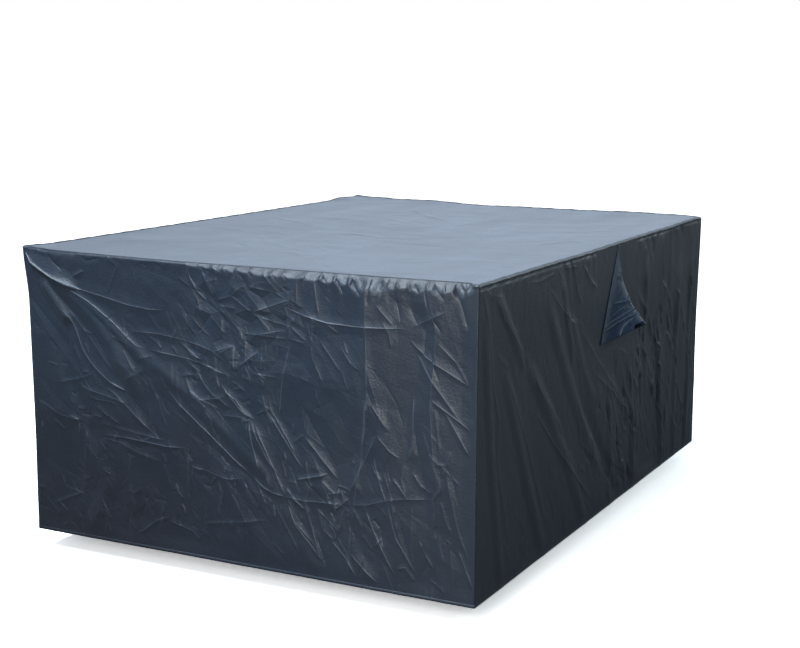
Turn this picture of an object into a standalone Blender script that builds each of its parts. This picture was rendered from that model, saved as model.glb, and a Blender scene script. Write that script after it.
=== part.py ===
"""Fitted cover for a patio table and its chairs: five panels of coated cloth and a vent hood.

The cover is hollow and open below. Its origin is on the underside of the top, in the middle,
where the furniture carries it. X runs along the front panel, Y from the front to the back.
Panels are drawn flat, in (s, depth): s runs along the panel from its left end as seen from
outside, and depth runs down from the top edge.
"""

import math
from typing import NamedTuple

import bmesh
import bpy
import numpy as np
from mathutils import Vector
from mathutils.geometry import delaunay_2d_cdt

# Driving sizes, in metres.
WIDTH = 1.50  # front and back panels
DEPTH = 2.00  # right and left panels
HEIGHT = 0.88  # top edge down to the hem
CLOTH = 0.0015  # thickness of the coated cloth
GAP = 0.0003  # between sewn pieces
TOP_SAG = 0.012  # the top's middle below its corners
EDGE_SAG = 0.004  # the middle of each top edge below its corners
SEAM_LIP = 0.003  # the top's rolled seam stands this far out of the walls
SEAM_BAND = 0.012  # width of that seam, level across
CORNER_LIFT = 0.005  # the three seams that meet at a corner bunch up this much
CORNER_REACH = 0.07

EDGE_Z = CLOTH + TOP_SAG  # level of the top's corners
NO_FOLD_AT_SEAM = 0.045  # folds start below the top seam and beside the corner seams over this
FOLD_TAPER = 0.2  # share of a fold's length over which each end fades
BROAD = 0.10  # a fold with a wider half-width is slack that the others ride on
HEM_SHARE = 0.12  # share of a fold's height left at the hem, which is stitched and hangs straight
HEM_REACH = 0.13

# Mesh spacing on the cloth.
EDGE_STEP = 0.055
POST_STEPS = 13
FIELD_STEP = 0.105
TOP_FIELD_STEP = 0.15
FOLD_STEP = 0.95  # of a fold's half-width
LEAST_STEP = 0.012

# The vent: a window in the right panel under a triangular hood.
VENT_S = 1.06  # the hood's centre line on the right panel
HOOD_TOP = 0.035  # depth of the hood's tip
HOOD_LENGTH = 0.28
HOOD_WIDTH = 0.28  # where it is sewn on, at its mouth
HOOD_TIP_WIDTH = 0.022
HOOD_BULGE = 0.09  # how far the mouth stands off the panel
HOOD_SKEW = 1.45  # above 1 puts the bulge towards the back
HOOD_RISE = 0.050  # the mouth's edge is drawn up where it bulges
HOOD_SEAM = 0.07  # share of the width that lies flat on the panel, at each side
WINDOW_WIDTH = 0.10
WINDOW_TOP = 0.20
WINDOW_LENGTH = 0.09
CALM_REACH = 0.06  # round the vent, the panel's folds fade over this

CLOTH_COLOUR = (0.020, 0.030, 0.045)
TOP_COLOUR = (0.030, 0.042, 0.060)
HOOD_COLOUR = (0.022, 0.040, 0.062)


class Fold(NamedTuple):
    """A ridge, or a trough where rise is negative, from one point of a panel to another."""

    s0: float
    d0: float
    s1: float
    d1: float
    bow: float  # sideways bow of its middle
    half: float  # half-width
    rise: float


BELOW = HEIGHT + 0.15  # a fold that ends here runs off the hem

FRONT_FOLDS = (
    # Pull folds that fan out from the upper left corner.
    Fold(0.02, 0.03, 0.45, 0.15, 0.010, 0.030, 0.010),
    Fold(0.08, 0.07, 0.48, 0.34, -0.010, 0.030, 0.008),
    Fold(0.05, 0.06, 0.42, 0.45, -0.050, 0.045, 0.010),
    Fold(0.10, 0.22, 0.26, 0.60, 0.010, 0.050, -0.006),
    # The long slanting fold across the middle, and its neighbours.
    Fold(0.36, 0.25, 0.94, 0.68, -0.020, 0.032, 0.008),
    Fold(0.36, 0.22, 0.74, 0.24, 0.010, 0.026, 0.005),
    Fold(0.68, 0.30, 0.95, 0.72, -0.020, 0.034, 0.006),
    Fold(0.80, 0.29, 0.83, 0.62, 0.005, 0.026, 0.005),
    # Creases left by folding the cover flat.
    Fold(0.85, 0.07, 1.34, 0.13, -0.035, 0.024, 0.005),
    Fold(0.55, 0.61, 1.40, 0.61, 0.025, 0.026, 0.005),
    Fold(0.22, 0.54, 0.64, 0.57, -0.012, 0.034, 0.006),
    # Upright folds beside the right-hand corner.
    Fold(1.17, -0.02, 1.16, 0.62, 0.000, 0.030, 0.008),
    Fold(1.30, -0.02, 1.31, BELOW, 0.012, 0.034, 0.010),
    Fold(1.24, 0.02, 1.23, 0.80, 0.005, 0.040, -0.007),
    Fold(1.32, 0.14, 1.50, 0.28, 0.000, 0.026, 0.006),
    Fold(1.33, 0.24, 1.48, 0.50, 0.010, 0.028, 0.006),
    # Slanting folds that run off the hem.
    Fold(0.86, 0.62, 1.10, BELOW, -0.010, 0.034, 0.006),
    Fold(1.02, 0.62, 1.30, BELOW, 0.000, 0.034, 0.006),
    Fold(0.30, 0.66, 0.16, BELOW, 0.010, 0.045, 0.006),
    # Broad slack.
    Fold(0.55, 0.05, 0.62, BELOW, 0.040, 0.220, -0.007),
    Fold(0.98, 0.10, 0.95, 0.95, 0.000, 0.160, 0.006),
)

RIGHT_FOLDS = (
    # Long folds that lean away from the front corner as they fall.
    Fold(0.04, 0.02, 0.21, BELOW, 0.020, 0.036, 0.008),
    Fold(0.11, 0.03, 0.34, 0.30, 0.000, 0.028, 0.006),
    Fold(0.15, 0.20, 0.56, BELOW, 0.000, 0.042, 0.009),
    Fold(0.30, 0.22, 0.92, BELOW, -0.030, 0.042, 0.009),
    Fold(0.45, 0.06, 1.00, 0.78, 0.030, 0.044, 0.008),
    Fold(0.58, 0.04, 0.70, 0.36, 0.000, 0.030, 0.006),
    Fold(0.66, 0.16, 0.92, 0.52, 0.020, 0.034, 0.005),
    Fold(0.72, 0.40, 1.26, BELOW, 0.000, 0.046, -0.007),
    # Upright folds under the vent and beyond it.
    Fold(1.02, 0.40, 1.06, BELOW, 0.000, 0.034, 0.006),
    Fold(1.20, 0.38, 1.30, BELOW, -0.010, 0.036, 0.007),
    Fold(1.36, 0.06, 1.42, 0.60, 0.010, 0.036, 0.005),
    Fold(1.52, 0.30, 1.62, BELOW, 0.000, 0.040, 0.008),
    Fold(1.74, 0.10, 1.76, BELOW, 0.010, 0.040, 0.007),
    Fold(1.90, 0.04, 1.88, BELOW, 0.000, 0.030, 0.006),
    # Broad slack.
    Fold(0.30, 0.10, 0.42, BELOW, 0.000, 0.240, -0.008),
    Fold(1.45, 0.20, 1.50, BELOW, 0.000, 0.220, -0.006),
)

BACK_FOLDS = (
    Fold(0.03, 0.04, 0.40, 0.34, -0.020, 0.045, 0.008),
    Fold(0.26, 0.20, 0.34, BELOW, 0.010, 0.050, 0.007),
    Fold(0.62, 0.10, 0.55, BELOW, 0.000, 0.055, 0.007),
    Fold(0.10, 0.36, 1.40, 0.38, 0.010, 0.034, 0.004),
    Fold(0.88, 0.04, 0.96, 0.80, 0.010, 0.050, -0.006),
    Fold(1.20, 0.08, 1.16, BELOW, 0.000, 0.050, 0.008),
    Fold(1.47, 0.04, 1.10, 0.36, 0.020, 0.045, 0.007),
)

LEFT_FOLDS = (
    Fold(0.04, 0.05, 0.42, 0.42, -0.020, 0.050, 0.008),
    Fold(0.34, 0.16, 0.42, BELOW, 0.000, 0.055, 0.007),
    Fold(0.74, 0.08, 0.66, BELOW, 0.010, 0.060, 0.007),
    Fold(0.10, 0.40, 1.90, 0.42, -0.010, 0.036, 0.004),
    Fold(1.02, 0.06, 1.10, BELOW, 0.000, 0.060, -0.007),
    Fold(1.40, 0.10, 1.36, BELOW, 0.010, 0.055, 0.008),
    Fold(1.70, 0.12, 1.74, BELOW, 0.000, 0.050, 0.006),
    Fold(1.97, 0.05, 1.62, 0.40, 0.020, 0.045, 0.008),
)

# On the hood, s runs from its centre line.
HOOD_FOLDS = (
    Fold(-0.15, 0.32, 0.07, 0.20, 0.020, 0.020, 0.004),
    Fold(-0.05, 0.34, 0.09, 0.22, 0.010, 0.016, 0.004),
)


class Dent(NamedTuple):
    """A soft hollow, or a hump where rise is positive, in the top."""

    x: float
    y: float
    reach_x: float
    reach_y: float
    rise: float


TOP_DENTS = (
    Dent(-0.02, 0.17, 0.16, 0.10, 0.003),
    Dent(-0.40, 0.33, 0.12, 0.22, 0.003),
    Dent(-0.58, -0.67, 0.14, 0.10, 0.003),
    Dent(0.30, -0.40, 0.22, 0.26, -0.003),
    Dent(0.40, 0.62, 0.18, 0.24, -0.003),
    Dent(-0.35, -0.25, 0.20, 0.20, -0.003),
)


class Post(NamedTuple):
    """Where a corner seam runs at one depth, off its upright line."""

    depth: float
    along_x: float
    along_y: float


# The corners in order round the cover, seen from above: each wall runs from one to the next.
CORNERS = (
    ((-WIDTH / 2, -DEPTH / 2), (Post(0, 0, 0), Post(0.17, 0.009, 0.003), Post(0.55, 0.009, 0.003), Post(0.88, 0, 0))),
    ((WIDTH / 2, -DEPTH / 2), (Post(0, 0, 0), Post(0.30, -0.002, 0.002), Post(0.88, -0.001, 0))),
    ((WIDTH / 2, DEPTH / 2), (Post(0, 0, 0), Post(0.40, -0.003, -0.002), Post(0.88, 0, 0))),
    ((-WIDTH / 2, DEPTH / 2), (Post(0, 0, 0), Post(0.25, 0.006, -0.004), Post(0.88, 0, 0))),
)


def smooth(t):
    """0 up to t = 0 and 1 from t = 1 on, with level ends."""
    t = np.clip(t, 0.0, 1.0)
    return t * t * (3.0 - 2.0 * t)


def fold_rise(points, folds):
    """Height of the cloth at flat points (s, depth): the highest ridge there, the deepest trough and
    the broad slack, added. Each fold tapers at its ends."""
    ridge = np.zeros(len(points))
    trough = np.zeros(len(points))
    slack = np.zeros(len(points))
    for fold in folds:
        start = np.array((fold.s0, fold.d0))
        run = np.array((fold.s1, fold.d1)) - start
        length = np.hypot(*run)
        offset = points - start
        along = offset @ run / length**2
        across = (offset[:, 1] * run[0] - offset[:, 0] * run[1]) / length
        across = across - fold.bow * 4.0 * along * (1.0 - along)
        crest = smooth(1.0 - np.abs(across) / fold.half)
        rise = fold.rise * crest * smooth(along / FOLD_TAPER) * smooth((1.0 - along) / FOLD_TAPER)
        if fold.half > BROAD:
            slack += rise
        elif fold.rise > 0.0:
            ridge = np.maximum(ridge, rise)
        else:
            trough = np.minimum(trough, rise)
    return ridge + trough + slack


def fold_points(folds):
    """Points along every fold's crest, then along their feet, so that the mesh follows the folds."""
    crests, feet = [], []
    for fold in folds:
        start = np.array((fold.s0, fold.d0))
        run = np.array((fold.s1, fold.d1)) - start
        length = np.hypot(*run)
        sideways = np.array((-run[1], run[0])) / length
        count = max(3, round(length / (FOLD_STEP * fold.half)))
        for along in np.linspace(0.04, 0.96, count):
            middle = start + along * run + fold.bow * 4.0 * along * (1.0 - along) * sideways
            crests.append((middle, 0.4 * fold.half))
            feet.append((middle - fold.half * sideways, 0.6 * fold.half))
            feet.append((middle + fold.half * sideways, 0.6 * fold.half))
    return crests + feet


def field_points(length, height, step):
    """A field of points a step apart, in staggered rows."""
    found = []
    rows = max(2, round(height / (0.87 * step)))
    for row in range(1, rows):
        columns = max(2, round(length / step))
        for column in range(columns):
            s = (column + 0.35 + 0.5 * (row % 2)) * length / columns
            found.append((np.array((s, row * height / rows)), 0.62 * step))
    return found


def sifted(points, kept, length, height):
    """The kept points and those of points that lie inside the panel, clear of all before them."""
    kept = [np.asarray(point, float) for point in kept]
    for point, clear in points:
        clear = max(clear, LEAST_STEP)
        margin = 0.6 * LEAST_STEP + 0.3 * clear
        if not (margin < point[0] < length - margin and margin < point[1] < height - margin):
            continue
        if np.hypot(*(np.array(kept) - point).T).min() >= clear:
            kept.append(point)
    return kept


def stations(length, steps=None):
    """Even places along an edge, ends included."""
    return np.linspace(0.0, length, (steps or round(length / EDGE_STEP)) + 1)


def outline(length, height, upright_steps):
    """Points round the edge of a rectangle."""
    edge = [(s, 0.0) for s in stations(length)]
    edge += [(length, d) for d in stations(height, upright_steps)[1:]]
    edge += [(s, height) for s in stations(length)[-2::-1]]
    edge += [(0.0, d) for d in stations(height, upright_steps)[-2:0:-1]]
    return edge


def triangulated(points, loop=()):
    """(points, triangles) of a flat cloud, with the inside of the closed loop of points cut out."""
    first = len(points)
    points = [Vector(point) for point in [*points, *loop]]
    edges = [(first + i, first + (i + 1) % len(loop)) for i in range(len(loop))]
    flat, _, triangles, _, _, _ = delaunay_2d_cdt(points, edges, [], 0, 1e-6)
    flat = np.array([tuple(point) for point in flat])
    triangles = np.array(triangles)
    if len(loop):
        middle = flat[triangles].mean(axis=1)
        low, high = np.min(loop, axis=0), np.max(loop, axis=0)
        inside = ((middle > low) & (middle < high)).all(axis=1)
        triangles = triangles[~inside]
    return flat, triangles


def add_cloth(name, outer, inner, triangles, colour):
    """One closed sheet: its outer and inner faces, joined along every open edge."""
    count = len(outer)
    sides = np.concatenate([triangles[:, [0, 1]], triangles[:, [1, 2]], triangles[:, [2, 0]]])
    order = np.sort(sides, axis=1)
    _, index, uses = np.unique(order, axis=0, return_index=True, return_counts=True)
    rim = sides[index[uses == 1]]
    faces = [tuple(face) for face in triangles.tolist()]
    faces += [tuple(face[::-1]) for face in (triangles + count).tolist()]
    faces += [(b, a, a + count, b + count) for a, b in rim.tolist()]
    mesh = bpy.data.meshes.new(name)
    mesh.from_pydata(np.concatenate([outer, inner]).tolist(), [], faces)
    work = bmesh.new()
    work.from_mesh(mesh)
    bmesh.ops.triangulate(work, faces=[face for face in work.faces if len(face.verts) > 3])
    bmesh.ops.recalc_face_normals(work, faces=work.faces)
    work.to_mesh(mesh)
    work.free()
    mesh.shade_smooth()
    mesh.set_sharp_from_angle(angle=math.radians(40))
    mesh.materials.append(cloth_material(name, colour))
    piece = bpy.data.objects.new(name, mesh)
    bpy.context.scene.collection.objects.link(piece)
    return piece


def cloth_material(name, colour):
    """Coated woven cloth: dark, slightly glossy, not metallic."""
    material = bpy.data.materials.new(name)
    material.use_nodes = True
    shader = material.node_tree.nodes["Principled BSDF"]
    shader.inputs["Base Color"].default_value = (*colour, 1.0)
    shader.inputs["Roughness"].default_value = 0.5
    shader.inputs["Metallic"].default_value = 0.0
    return material


def top_level(x, y):
    """Height of the top's outer face: its sag, its sagging edges, its lifted corners and its dents."""
    x = np.where(np.abs(x) > WIDTH / 2 - 1.5 * SEAM_BAND, np.sign(x) * WIDTH / 2, x)
    y = np.where(np.abs(y) > DEPTH / 2 - 1.5 * SEAM_BAND, np.sign(y) * DEPTH / 2, y)
    u = 2.0 * x / WIDTH
    v = 2.0 * y / DEPTH
    bow_u = np.maximum(1.0 - u * u, 0.0)
    bow_v = np.maximum(1.0 - v * v, 0.0)
    level = EDGE_Z - EDGE_SAG * (bow_u + bow_v) - (TOP_SAG - 2.0 * EDGE_SAG) * bow_u * bow_v
    from_corner = np.hypot(np.abs(x) - WIDTH / 2, np.abs(y) - DEPTH / 2)
    level = level + CORNER_LIFT * np.exp(-((from_corner / CORNER_REACH) ** 2))
    inside = smooth(bow_u / 0.3) * smooth(bow_v / 0.3)
    for dent in TOP_DENTS:
        far = ((x - dent.x) / dent.reach_x) ** 2 + ((y - dent.y) / dent.reach_y) ** 2
        at_middle = (dent.x / dent.reach_x) ** 2 + (dent.y / dent.reach_y) ** 2
        level = level + dent.rise * inside * (np.exp(-far) - np.exp(-at_middle) * bow_u * bow_v)
    return level


def corner_line(corner, depth):
    """(x, y) of a corner seam at each depth."""
    (x, y), posts = corner
    at = np.array([post.depth for post in posts])
    place = np.clip(np.searchsorted(at, depth, side="right") - 1, 0, len(at) - 2)
    share = smooth((depth - at[place]) / (at[place + 1] - at[place]))
    offset = np.array([(post.along_x, post.along_y) for post in posts])
    return np.array((x, y)) + offset[place] + share[:, None] * (offset[place + 1] - offset[place])


def add_wall(name, number, length, folds, colour, calm=None, window=()):
    """A wall from one corner to the next. calm gives the share of the folds left at each point."""
    start, end = CORNERS[number], CORNERS[(number + 1) % len(CORNERS)]
    along = (np.array(end[0]) - np.array(start[0])) / length
    normal = np.array((along[1], -along[0]))
    cloud = sifted(
        fold_points(folds) + field_points(length, HEIGHT, FIELD_STEP),
        [*outline(length, HEIGHT, POST_STEPS), *window],
        length,
        HEIGHT,
    )
    if len(window):
        at_rim = np.array([any(np.allclose(point, spot) for spot in window) for point in cloud])
        cloud = [point for point, rim in zip(cloud, at_rim) if not rim]
    flat, triangles = triangulated(cloud, window)
    s, depth = flat[:, 0], flat[:, 1]
    free = smooth(depth / NO_FOLD_AT_SEAM)
    free = free * smooth(s / NO_FOLD_AT_SEAM) * smooth((length - s) / NO_FOLD_AT_SEAM)
    free = free * (HEM_SHARE + (1.0 - HEM_SHARE) * smooth((HEIGHT - depth) / HEM_REACH))
    rise = fold_rise(flat, folds) * free
    if calm is not None:
        rise = rise * calm(flat)
    share = (s / length)[:, None]
    plan = (1.0 - share) * corner_line(start, depth) + share * corner_line(end, depth)
    # The wall hangs from under the top's edge, and its corners are mitred.
    upper = top_level(plan[:, 0], plan[:, 1]) - CLOTH - GAP
    level = upper + (depth / HEIGHT) * (EDGE_Z - HEIGHT - upper)
    mitre = (s < 1e-6).astype(float) - (s > length - 1e-6)
    outer = plan + rise[:, None] * normal + (mitre * GAP * math.sqrt(0.5))[:, None] * along
    inner = outer - CLOTH * normal + (mitre * CLOTH)[:, None] * along
    add_cloth(
        name,
        np.column_stack([outer, level]),
        np.column_stack([inner, level]),
        triangles,
        colour,
    )


def add_top():
    """The top: a sheet over the walls' upper edges, with its rolled seam standing just proud."""
    folds = [(np.array((WIDTH / 2 + dent.x, DEPTH / 2 + dent.y)), 0.03) for dent in TOP_DENTS]
    middle = np.array((WIDTH, DEPTH)) / 2
    edge = np.array(outline(WIDTH, DEPTH, round(DEPTH / EDGE_STEP)))
    seam = np.clip(edge, SEAM_BAND, 2 * middle - SEAM_BAND)
    cloud = sifted(folds + field_points(WIDTH, DEPTH, TOP_FIELD_STEP), [*edge, *seam, middle], *middle * 2)
    flat, triangles = triangulated(cloud)
    x, y = (flat - middle).T
    level = top_level(x, y)
    x = x + SEAM_LIP * np.sign(x) * (np.abs(x) > WIDTH / 2 - SEAM_BAND / 2)
    y = y + SEAM_LIP * np.sign(y) * (np.abs(y) > DEPTH / 2 - SEAM_BAND / 2)
    add_cloth(
        "top_panel",
        np.column_stack([x, y, level]),
        np.column_stack([x, y, level - CLOTH]),
        triangles,
        TOP_COLOUR,
    )


def vent_window():
    """The window's corners and the points between them, in order round it."""
    low = np.array((VENT_S - WINDOW_WIDTH / 2, WINDOW_TOP))
    size = np.array((WINDOW_WIDTH, WINDOW_LENGTH))
    shares = ((0, 0), (0.5, 0), (1, 0), (1, 0.5), (1, 1), (0.5, 1), (0, 1), (0, 0.5))
    return [low + size * np.array(share) for share in shares]


def calm_at_vent(flat):
    """0 under the hood, where the panel is flat, rising to 1 away from it."""
    aside = np.abs(flat[:, 0] - VENT_S) - (HOOD_WIDTH / 2 + 0.02)
    below = flat[:, 1] - (HOOD_TOP + HOOD_LENGTH + 0.03)
    return smooth(np.maximum(aside, below) / CALM_REACH)


def add_hood(steps_across=22, steps_down=16):
    """The hood: a triangle sewn to the panel along both slanting sides, bulging to an open mouth."""
    across, down = np.meshgrid(np.linspace(0, 1, steps_across + 1), np.linspace(0, 1, steps_down + 1))
    half = (HOOD_TIP_WIDTH + down * (HOOD_WIDTH - HOOD_TIP_WIDTH)) / 2
    lifted = np.clip((across - HOOD_SEAM) / (1 - 2 * HOOD_SEAM), 0, 1)
    arch = np.sin(math.pi * lifted**HOOD_SKEW) ** 1.15
    s = (2 * across - 1) * half
    depth = HOOD_TOP + HOOD_LENGTH * down - HOOD_RISE * arch * down**2
    bulge = HOOD_BULGE * arch * down**1.8
    flat = np.column_stack([s.ravel(), depth.ravel()])
    bulge = bulge + fold_rise(flat, HOOD_FOLDS).reshape(bulge.shape) * smooth(arch / 0.3)
    plane = WIDTH / 2 + GAP + CLOTH
    outer = np.stack([plane + bulge, VENT_S - DEPTH / 2 + s, EDGE_Z - depth], axis=-1)
    normal = np.cross(np.gradient(outer, axis=0), np.gradient(outer, axis=1))
    normal = normal / np.linalg.norm(normal, axis=-1, keepdims=True)
    normal = normal * np.sign(normal[..., :1])
    inner = outer - CLOTH * normal
    row = steps_across + 1
    first = (np.arange(steps_down)[:, None] * row + np.arange(steps_across)).ravel()
    triangles = np.concatenate(
        [
            np.stack([first, first + row, first + row + 1], axis=1),
            np.stack([first, first + row + 1, first + 1], axis=1),
        ]
    )
    add_cloth("vent_hood", outer.reshape(-1, 3), inner.reshape(-1, 3), triangles, HOOD_COLOUR)


for old in list(bpy.data.objects):
    bpy.data.objects.remove(old)

add_top()
add_wall("front_panel", 0, WIDTH, FRONT_FOLDS, CLOTH_COLOUR)
add_wall("right_panel", 1, DEPTH, RIGHT_FOLDS, CLOTH_COLOUR, calm_at_vent, vent_window())
add_wall("back_panel", 2, WIDTH, BACK_FOLDS, CLOTH_COLOUR)
add_wall("left_panel", 3, DEPTH, LEFT_FOLDS, CLOTH_COLOUR)
add_hood()
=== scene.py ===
"""Fitted patio furniture cover, in dark coated cloth: how it looks.

The script follows the cover as it is sewn: its four walls, its top, the seam between them and the hood of
its vent. Panels are drawn flat, in (s, depth): s runs along a panel from its left end as seen from outside,
and depth runs down from its top edge.
"""

import functools
import math

import bpy
import numpy as np
from mathutils import Matrix, Vector
from mathutils.geometry import delaunay_2d_cdt


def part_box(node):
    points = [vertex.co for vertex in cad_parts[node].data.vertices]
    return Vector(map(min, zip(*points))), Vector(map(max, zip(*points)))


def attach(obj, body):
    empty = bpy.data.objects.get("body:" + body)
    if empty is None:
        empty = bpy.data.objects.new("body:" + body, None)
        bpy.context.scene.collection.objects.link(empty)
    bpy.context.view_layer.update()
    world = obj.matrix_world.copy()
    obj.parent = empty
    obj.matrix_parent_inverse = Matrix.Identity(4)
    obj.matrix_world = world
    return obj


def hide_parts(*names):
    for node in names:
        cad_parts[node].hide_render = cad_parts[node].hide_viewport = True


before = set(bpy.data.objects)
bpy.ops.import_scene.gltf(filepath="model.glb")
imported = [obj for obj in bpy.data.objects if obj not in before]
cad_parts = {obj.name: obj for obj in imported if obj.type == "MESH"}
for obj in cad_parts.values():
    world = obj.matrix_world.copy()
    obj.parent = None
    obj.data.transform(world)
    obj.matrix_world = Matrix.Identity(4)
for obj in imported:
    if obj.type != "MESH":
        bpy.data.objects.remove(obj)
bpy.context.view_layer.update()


# The studio: a pale floor that runs on as a white ground, and soft lights above the cover, in front of it
# and behind it on the right. A pale wall behind it on the left shows in the sheen of the top. The camera
# stands to the right of the front wall, a little above the top.
FLOOR_UNDER_HEM = 0.06
FLOOR_WIDTH = 80.0
CAMERA_PLACE = Vector((2.300, -4.345, 0.5755))
CAMERA_AZIMUTH = math.radians(25.19)
CAMERA_ELEVATION = math.radians(11.62)
CAMERA_ROLL = math.radians(0.694)
CAMERA_LENS = 65.26
CAMERA_SHIFT = (-0.0875, 0.045)
PALE_WALL = (-0.32, 0.91, 0.25)  # the direction of the studio's pale wall
PALE_WALL_LIGHT = (1.30, 1.55, 1.91)
PALE_WALL_FADE = (6.0, -4.85)  # its light is this many times the cosine off its middle, plus this
STUDIO_LIGHT = (0.125, 0.127, 0.130)
MIRRORED_FLOOR = (0.112, 0.108, 0.104)  # the floor's colour as the cloth mirrors it
GROUND_GLOW = (0.96, 0.98, 1.0)
GLOW_NEAR, GLOW_MORE = 0.34, 0.7  # its strength beside the cover, and how much more it has far away
GLOW_FROM, GLOW_TO = 2.0, 4.0  # it grows between these distances
WHITE = (1.0, 1.0, 1.0)


def add_camera():
    """A camera that looks along its azimuth and elevation, then rolls about that line."""
    level = math.cos(CAMERA_ELEVATION)
    aside, ahead = -math.sin(CAMERA_AZIMUTH) * level, math.cos(CAMERA_AZIMUTH) * level
    forward = Vector((aside, ahead, -math.sin(CAMERA_ELEVATION)))
    right = forward.cross(Vector((0, 0, 1))).normalized()
    up = right.cross(forward)
    rolled_right = right * math.cos(CAMERA_ROLL) + up * math.sin(CAMERA_ROLL)
    rolled_up = up * math.cos(CAMERA_ROLL) - right * math.sin(CAMERA_ROLL)
    camera = bpy.data.objects.new("camera", bpy.data.cameras.new("camera"))
    camera.rotation_mode = "QUATERNION"
    camera.rotation_quaternion = Matrix((rolled_right, rolled_up, -forward)).transposed().to_quaternion()
    camera.location = CAMERA_PLACE
    camera.data.lens = CAMERA_LENS
    camera.data.shift_x, camera.data.shift_y = CAMERA_SHIFT
    camera.data.clip_end = 200
    bpy.context.scene.collection.objects.link(camera)
    bpy.context.scene.camera = camera


def add_light(name, place, target, size, power, colour):
    """A soft rectangular light of size (width, height) that faces its target."""
    light = bpy.data.lights.new(name, "AREA")
    light.shape = "RECTANGLE"
    light.size, light.size_y = size
    light.energy = power
    light.color = colour
    lamp = bpy.data.objects.new(name, light)
    lamp.location = place
    lamp.rotation_euler = (Vector(target) - Vector(place)).to_track_quat("-Z", "Y").to_euler()
    lamp.visible_camera = False
    bpy.context.scene.collection.objects.link(lamp)


def math_node(nodes, links, kind, *values):
    """A Math node of one kind, whose inputs are numbers or other nodes' outputs."""
    node = nodes.new("ShaderNodeMath")
    node.operation = kind
    for socket, value in zip(node.inputs, values):
        if isinstance(value, (int, float)):
            socket.default_value = value
        else:
            links.new(value, socket)
    return node.outputs[0]


def clamp_node(nodes, links, value, most=1.0):
    """The value, held between 0 and most."""
    return math_node(nodes, links, "MINIMUM", math_node(nodes, links, "MAXIMUM", value, 0.0), most)


def mix_node(nodes, links, share, first, second):
    """The first colour with a share of the second mixed in. A colour is three numbers or a node's output."""
    node = nodes.new("ShaderNodeMix")
    node.data_type = "RGBA"
    links.new(share, node.inputs["Factor"])
    for name, colour in (("A", first), ("B", second)):
        if isinstance(colour, tuple):
            node.inputs[name].default_value = (*colour, 1)
        else:
            links.new(colour, node.inputs[name])
    return node.outputs["Result"]


def add_floor(level):
    """The floor: white to the camera, apart from the shade under the cover, and grey to the cloth, which
    would otherwise mirror it."""
    half = FLOOR_WIDTH / 2
    mesh = bpy.data.meshes.new("floor")
    corners = [(-half, -half, level), (half, -half, level), (half, half, level), (-half, half, level)]
    mesh.from_pydata(corners, [], [(0, 1, 2, 3)])
    floor = bpy.data.objects.new("floor", mesh)
    bpy.context.scene.collection.objects.link(floor)
    material = bpy.data.materials.new("floor")
    material.use_nodes = True
    nodes, links = material.node_tree.nodes, material.node_tree.links
    nodes.clear()
    to_camera = nodes.new("ShaderNodeLightPath").outputs["Is Camera Ray"]
    away = nodes.new("ShaderNodeVectorMath")
    away.operation = "LENGTH"
    links.new(nodes.new("ShaderNodeTexCoord").outputs["Object"], away.inputs[0])
    per_metre = 1 / (GLOW_TO - GLOW_FROM)
    far = math_node(nodes, links, "MULTIPLY_ADD", away.outputs["Value"], per_metre, -GLOW_FROM * per_metre)
    strength = math_node(nodes, links, "MULTIPLY_ADD", clamp_node(nodes, links, far), GLOW_MORE, GLOW_NEAR)
    matt = nodes.new("ShaderNodeBsdfDiffuse")
    matt.inputs["Color"].default_value = (*MIRRORED_FLOOR, 1)
    lit = nodes.new("ShaderNodeBsdfDiffuse")
    lit.inputs["Color"].default_value = (*WHITE, 1)
    twice = nodes.new("ShaderNodeAddShader")
    links.new(lit.outputs["BSDF"], twice.inputs[0])
    links.new(lit.outputs["BSDF"], twice.inputs[1])
    glow = nodes.new("ShaderNodeEmission")
    glow.inputs["Color"].default_value = (*GROUND_GLOW, 1)
    links.new(strength, glow.inputs["Strength"])
    white = nodes.new("ShaderNodeAddShader")
    links.new(twice.outputs["Shader"], white.inputs[0])
    links.new(glow.outputs["Emission"], white.inputs[1])
    both = nodes.new("ShaderNodeMixShader")
    links.new(to_camera, both.inputs["Fac"])
    links.new(matt.outputs["BSDF"], both.inputs[1])
    links.new(white.outputs["Shader"], both.inputs[2])
    output = nodes.new("ShaderNodeOutputMaterial")
    links.new(both.outputs["Shader"], output.inputs["Surface"])
    mesh.materials.append(material)


def add_world():
    """White behind the floor. The cover itself is lit as in a studio: a pale wall behind it, dimmer above
    and dim in front."""
    world = bpy.data.worlds.new("studio")
    world.use_nodes = True
    nodes, links = world.node_tree.nodes, world.node_tree.links
    ground = nodes["Background"]
    towards = nodes.new("ShaderNodeVectorMath")
    towards.operation = "DOT_PRODUCT"
    links.new(nodes.new("ShaderNodeTexCoord").outputs["Generated"], towards.inputs[0])
    towards.inputs[1].default_value = PALE_WALL
    back = math_node(nodes, links, "MULTIPLY_ADD", towards.outputs["Value"], *PALE_WALL_FADE)
    studio = mix_node(nodes, links, clamp_node(nodes, links, back), STUDIO_LIGHT, PALE_WALL_LIGHT)
    to_camera = nodes.new("ShaderNodeLightPath").outputs["Is Camera Ray"]
    links.new(mix_node(nodes, links, to_camera, studio, WHITE), ground.inputs["Color"])
    bpy.context.scene.world = world


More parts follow.
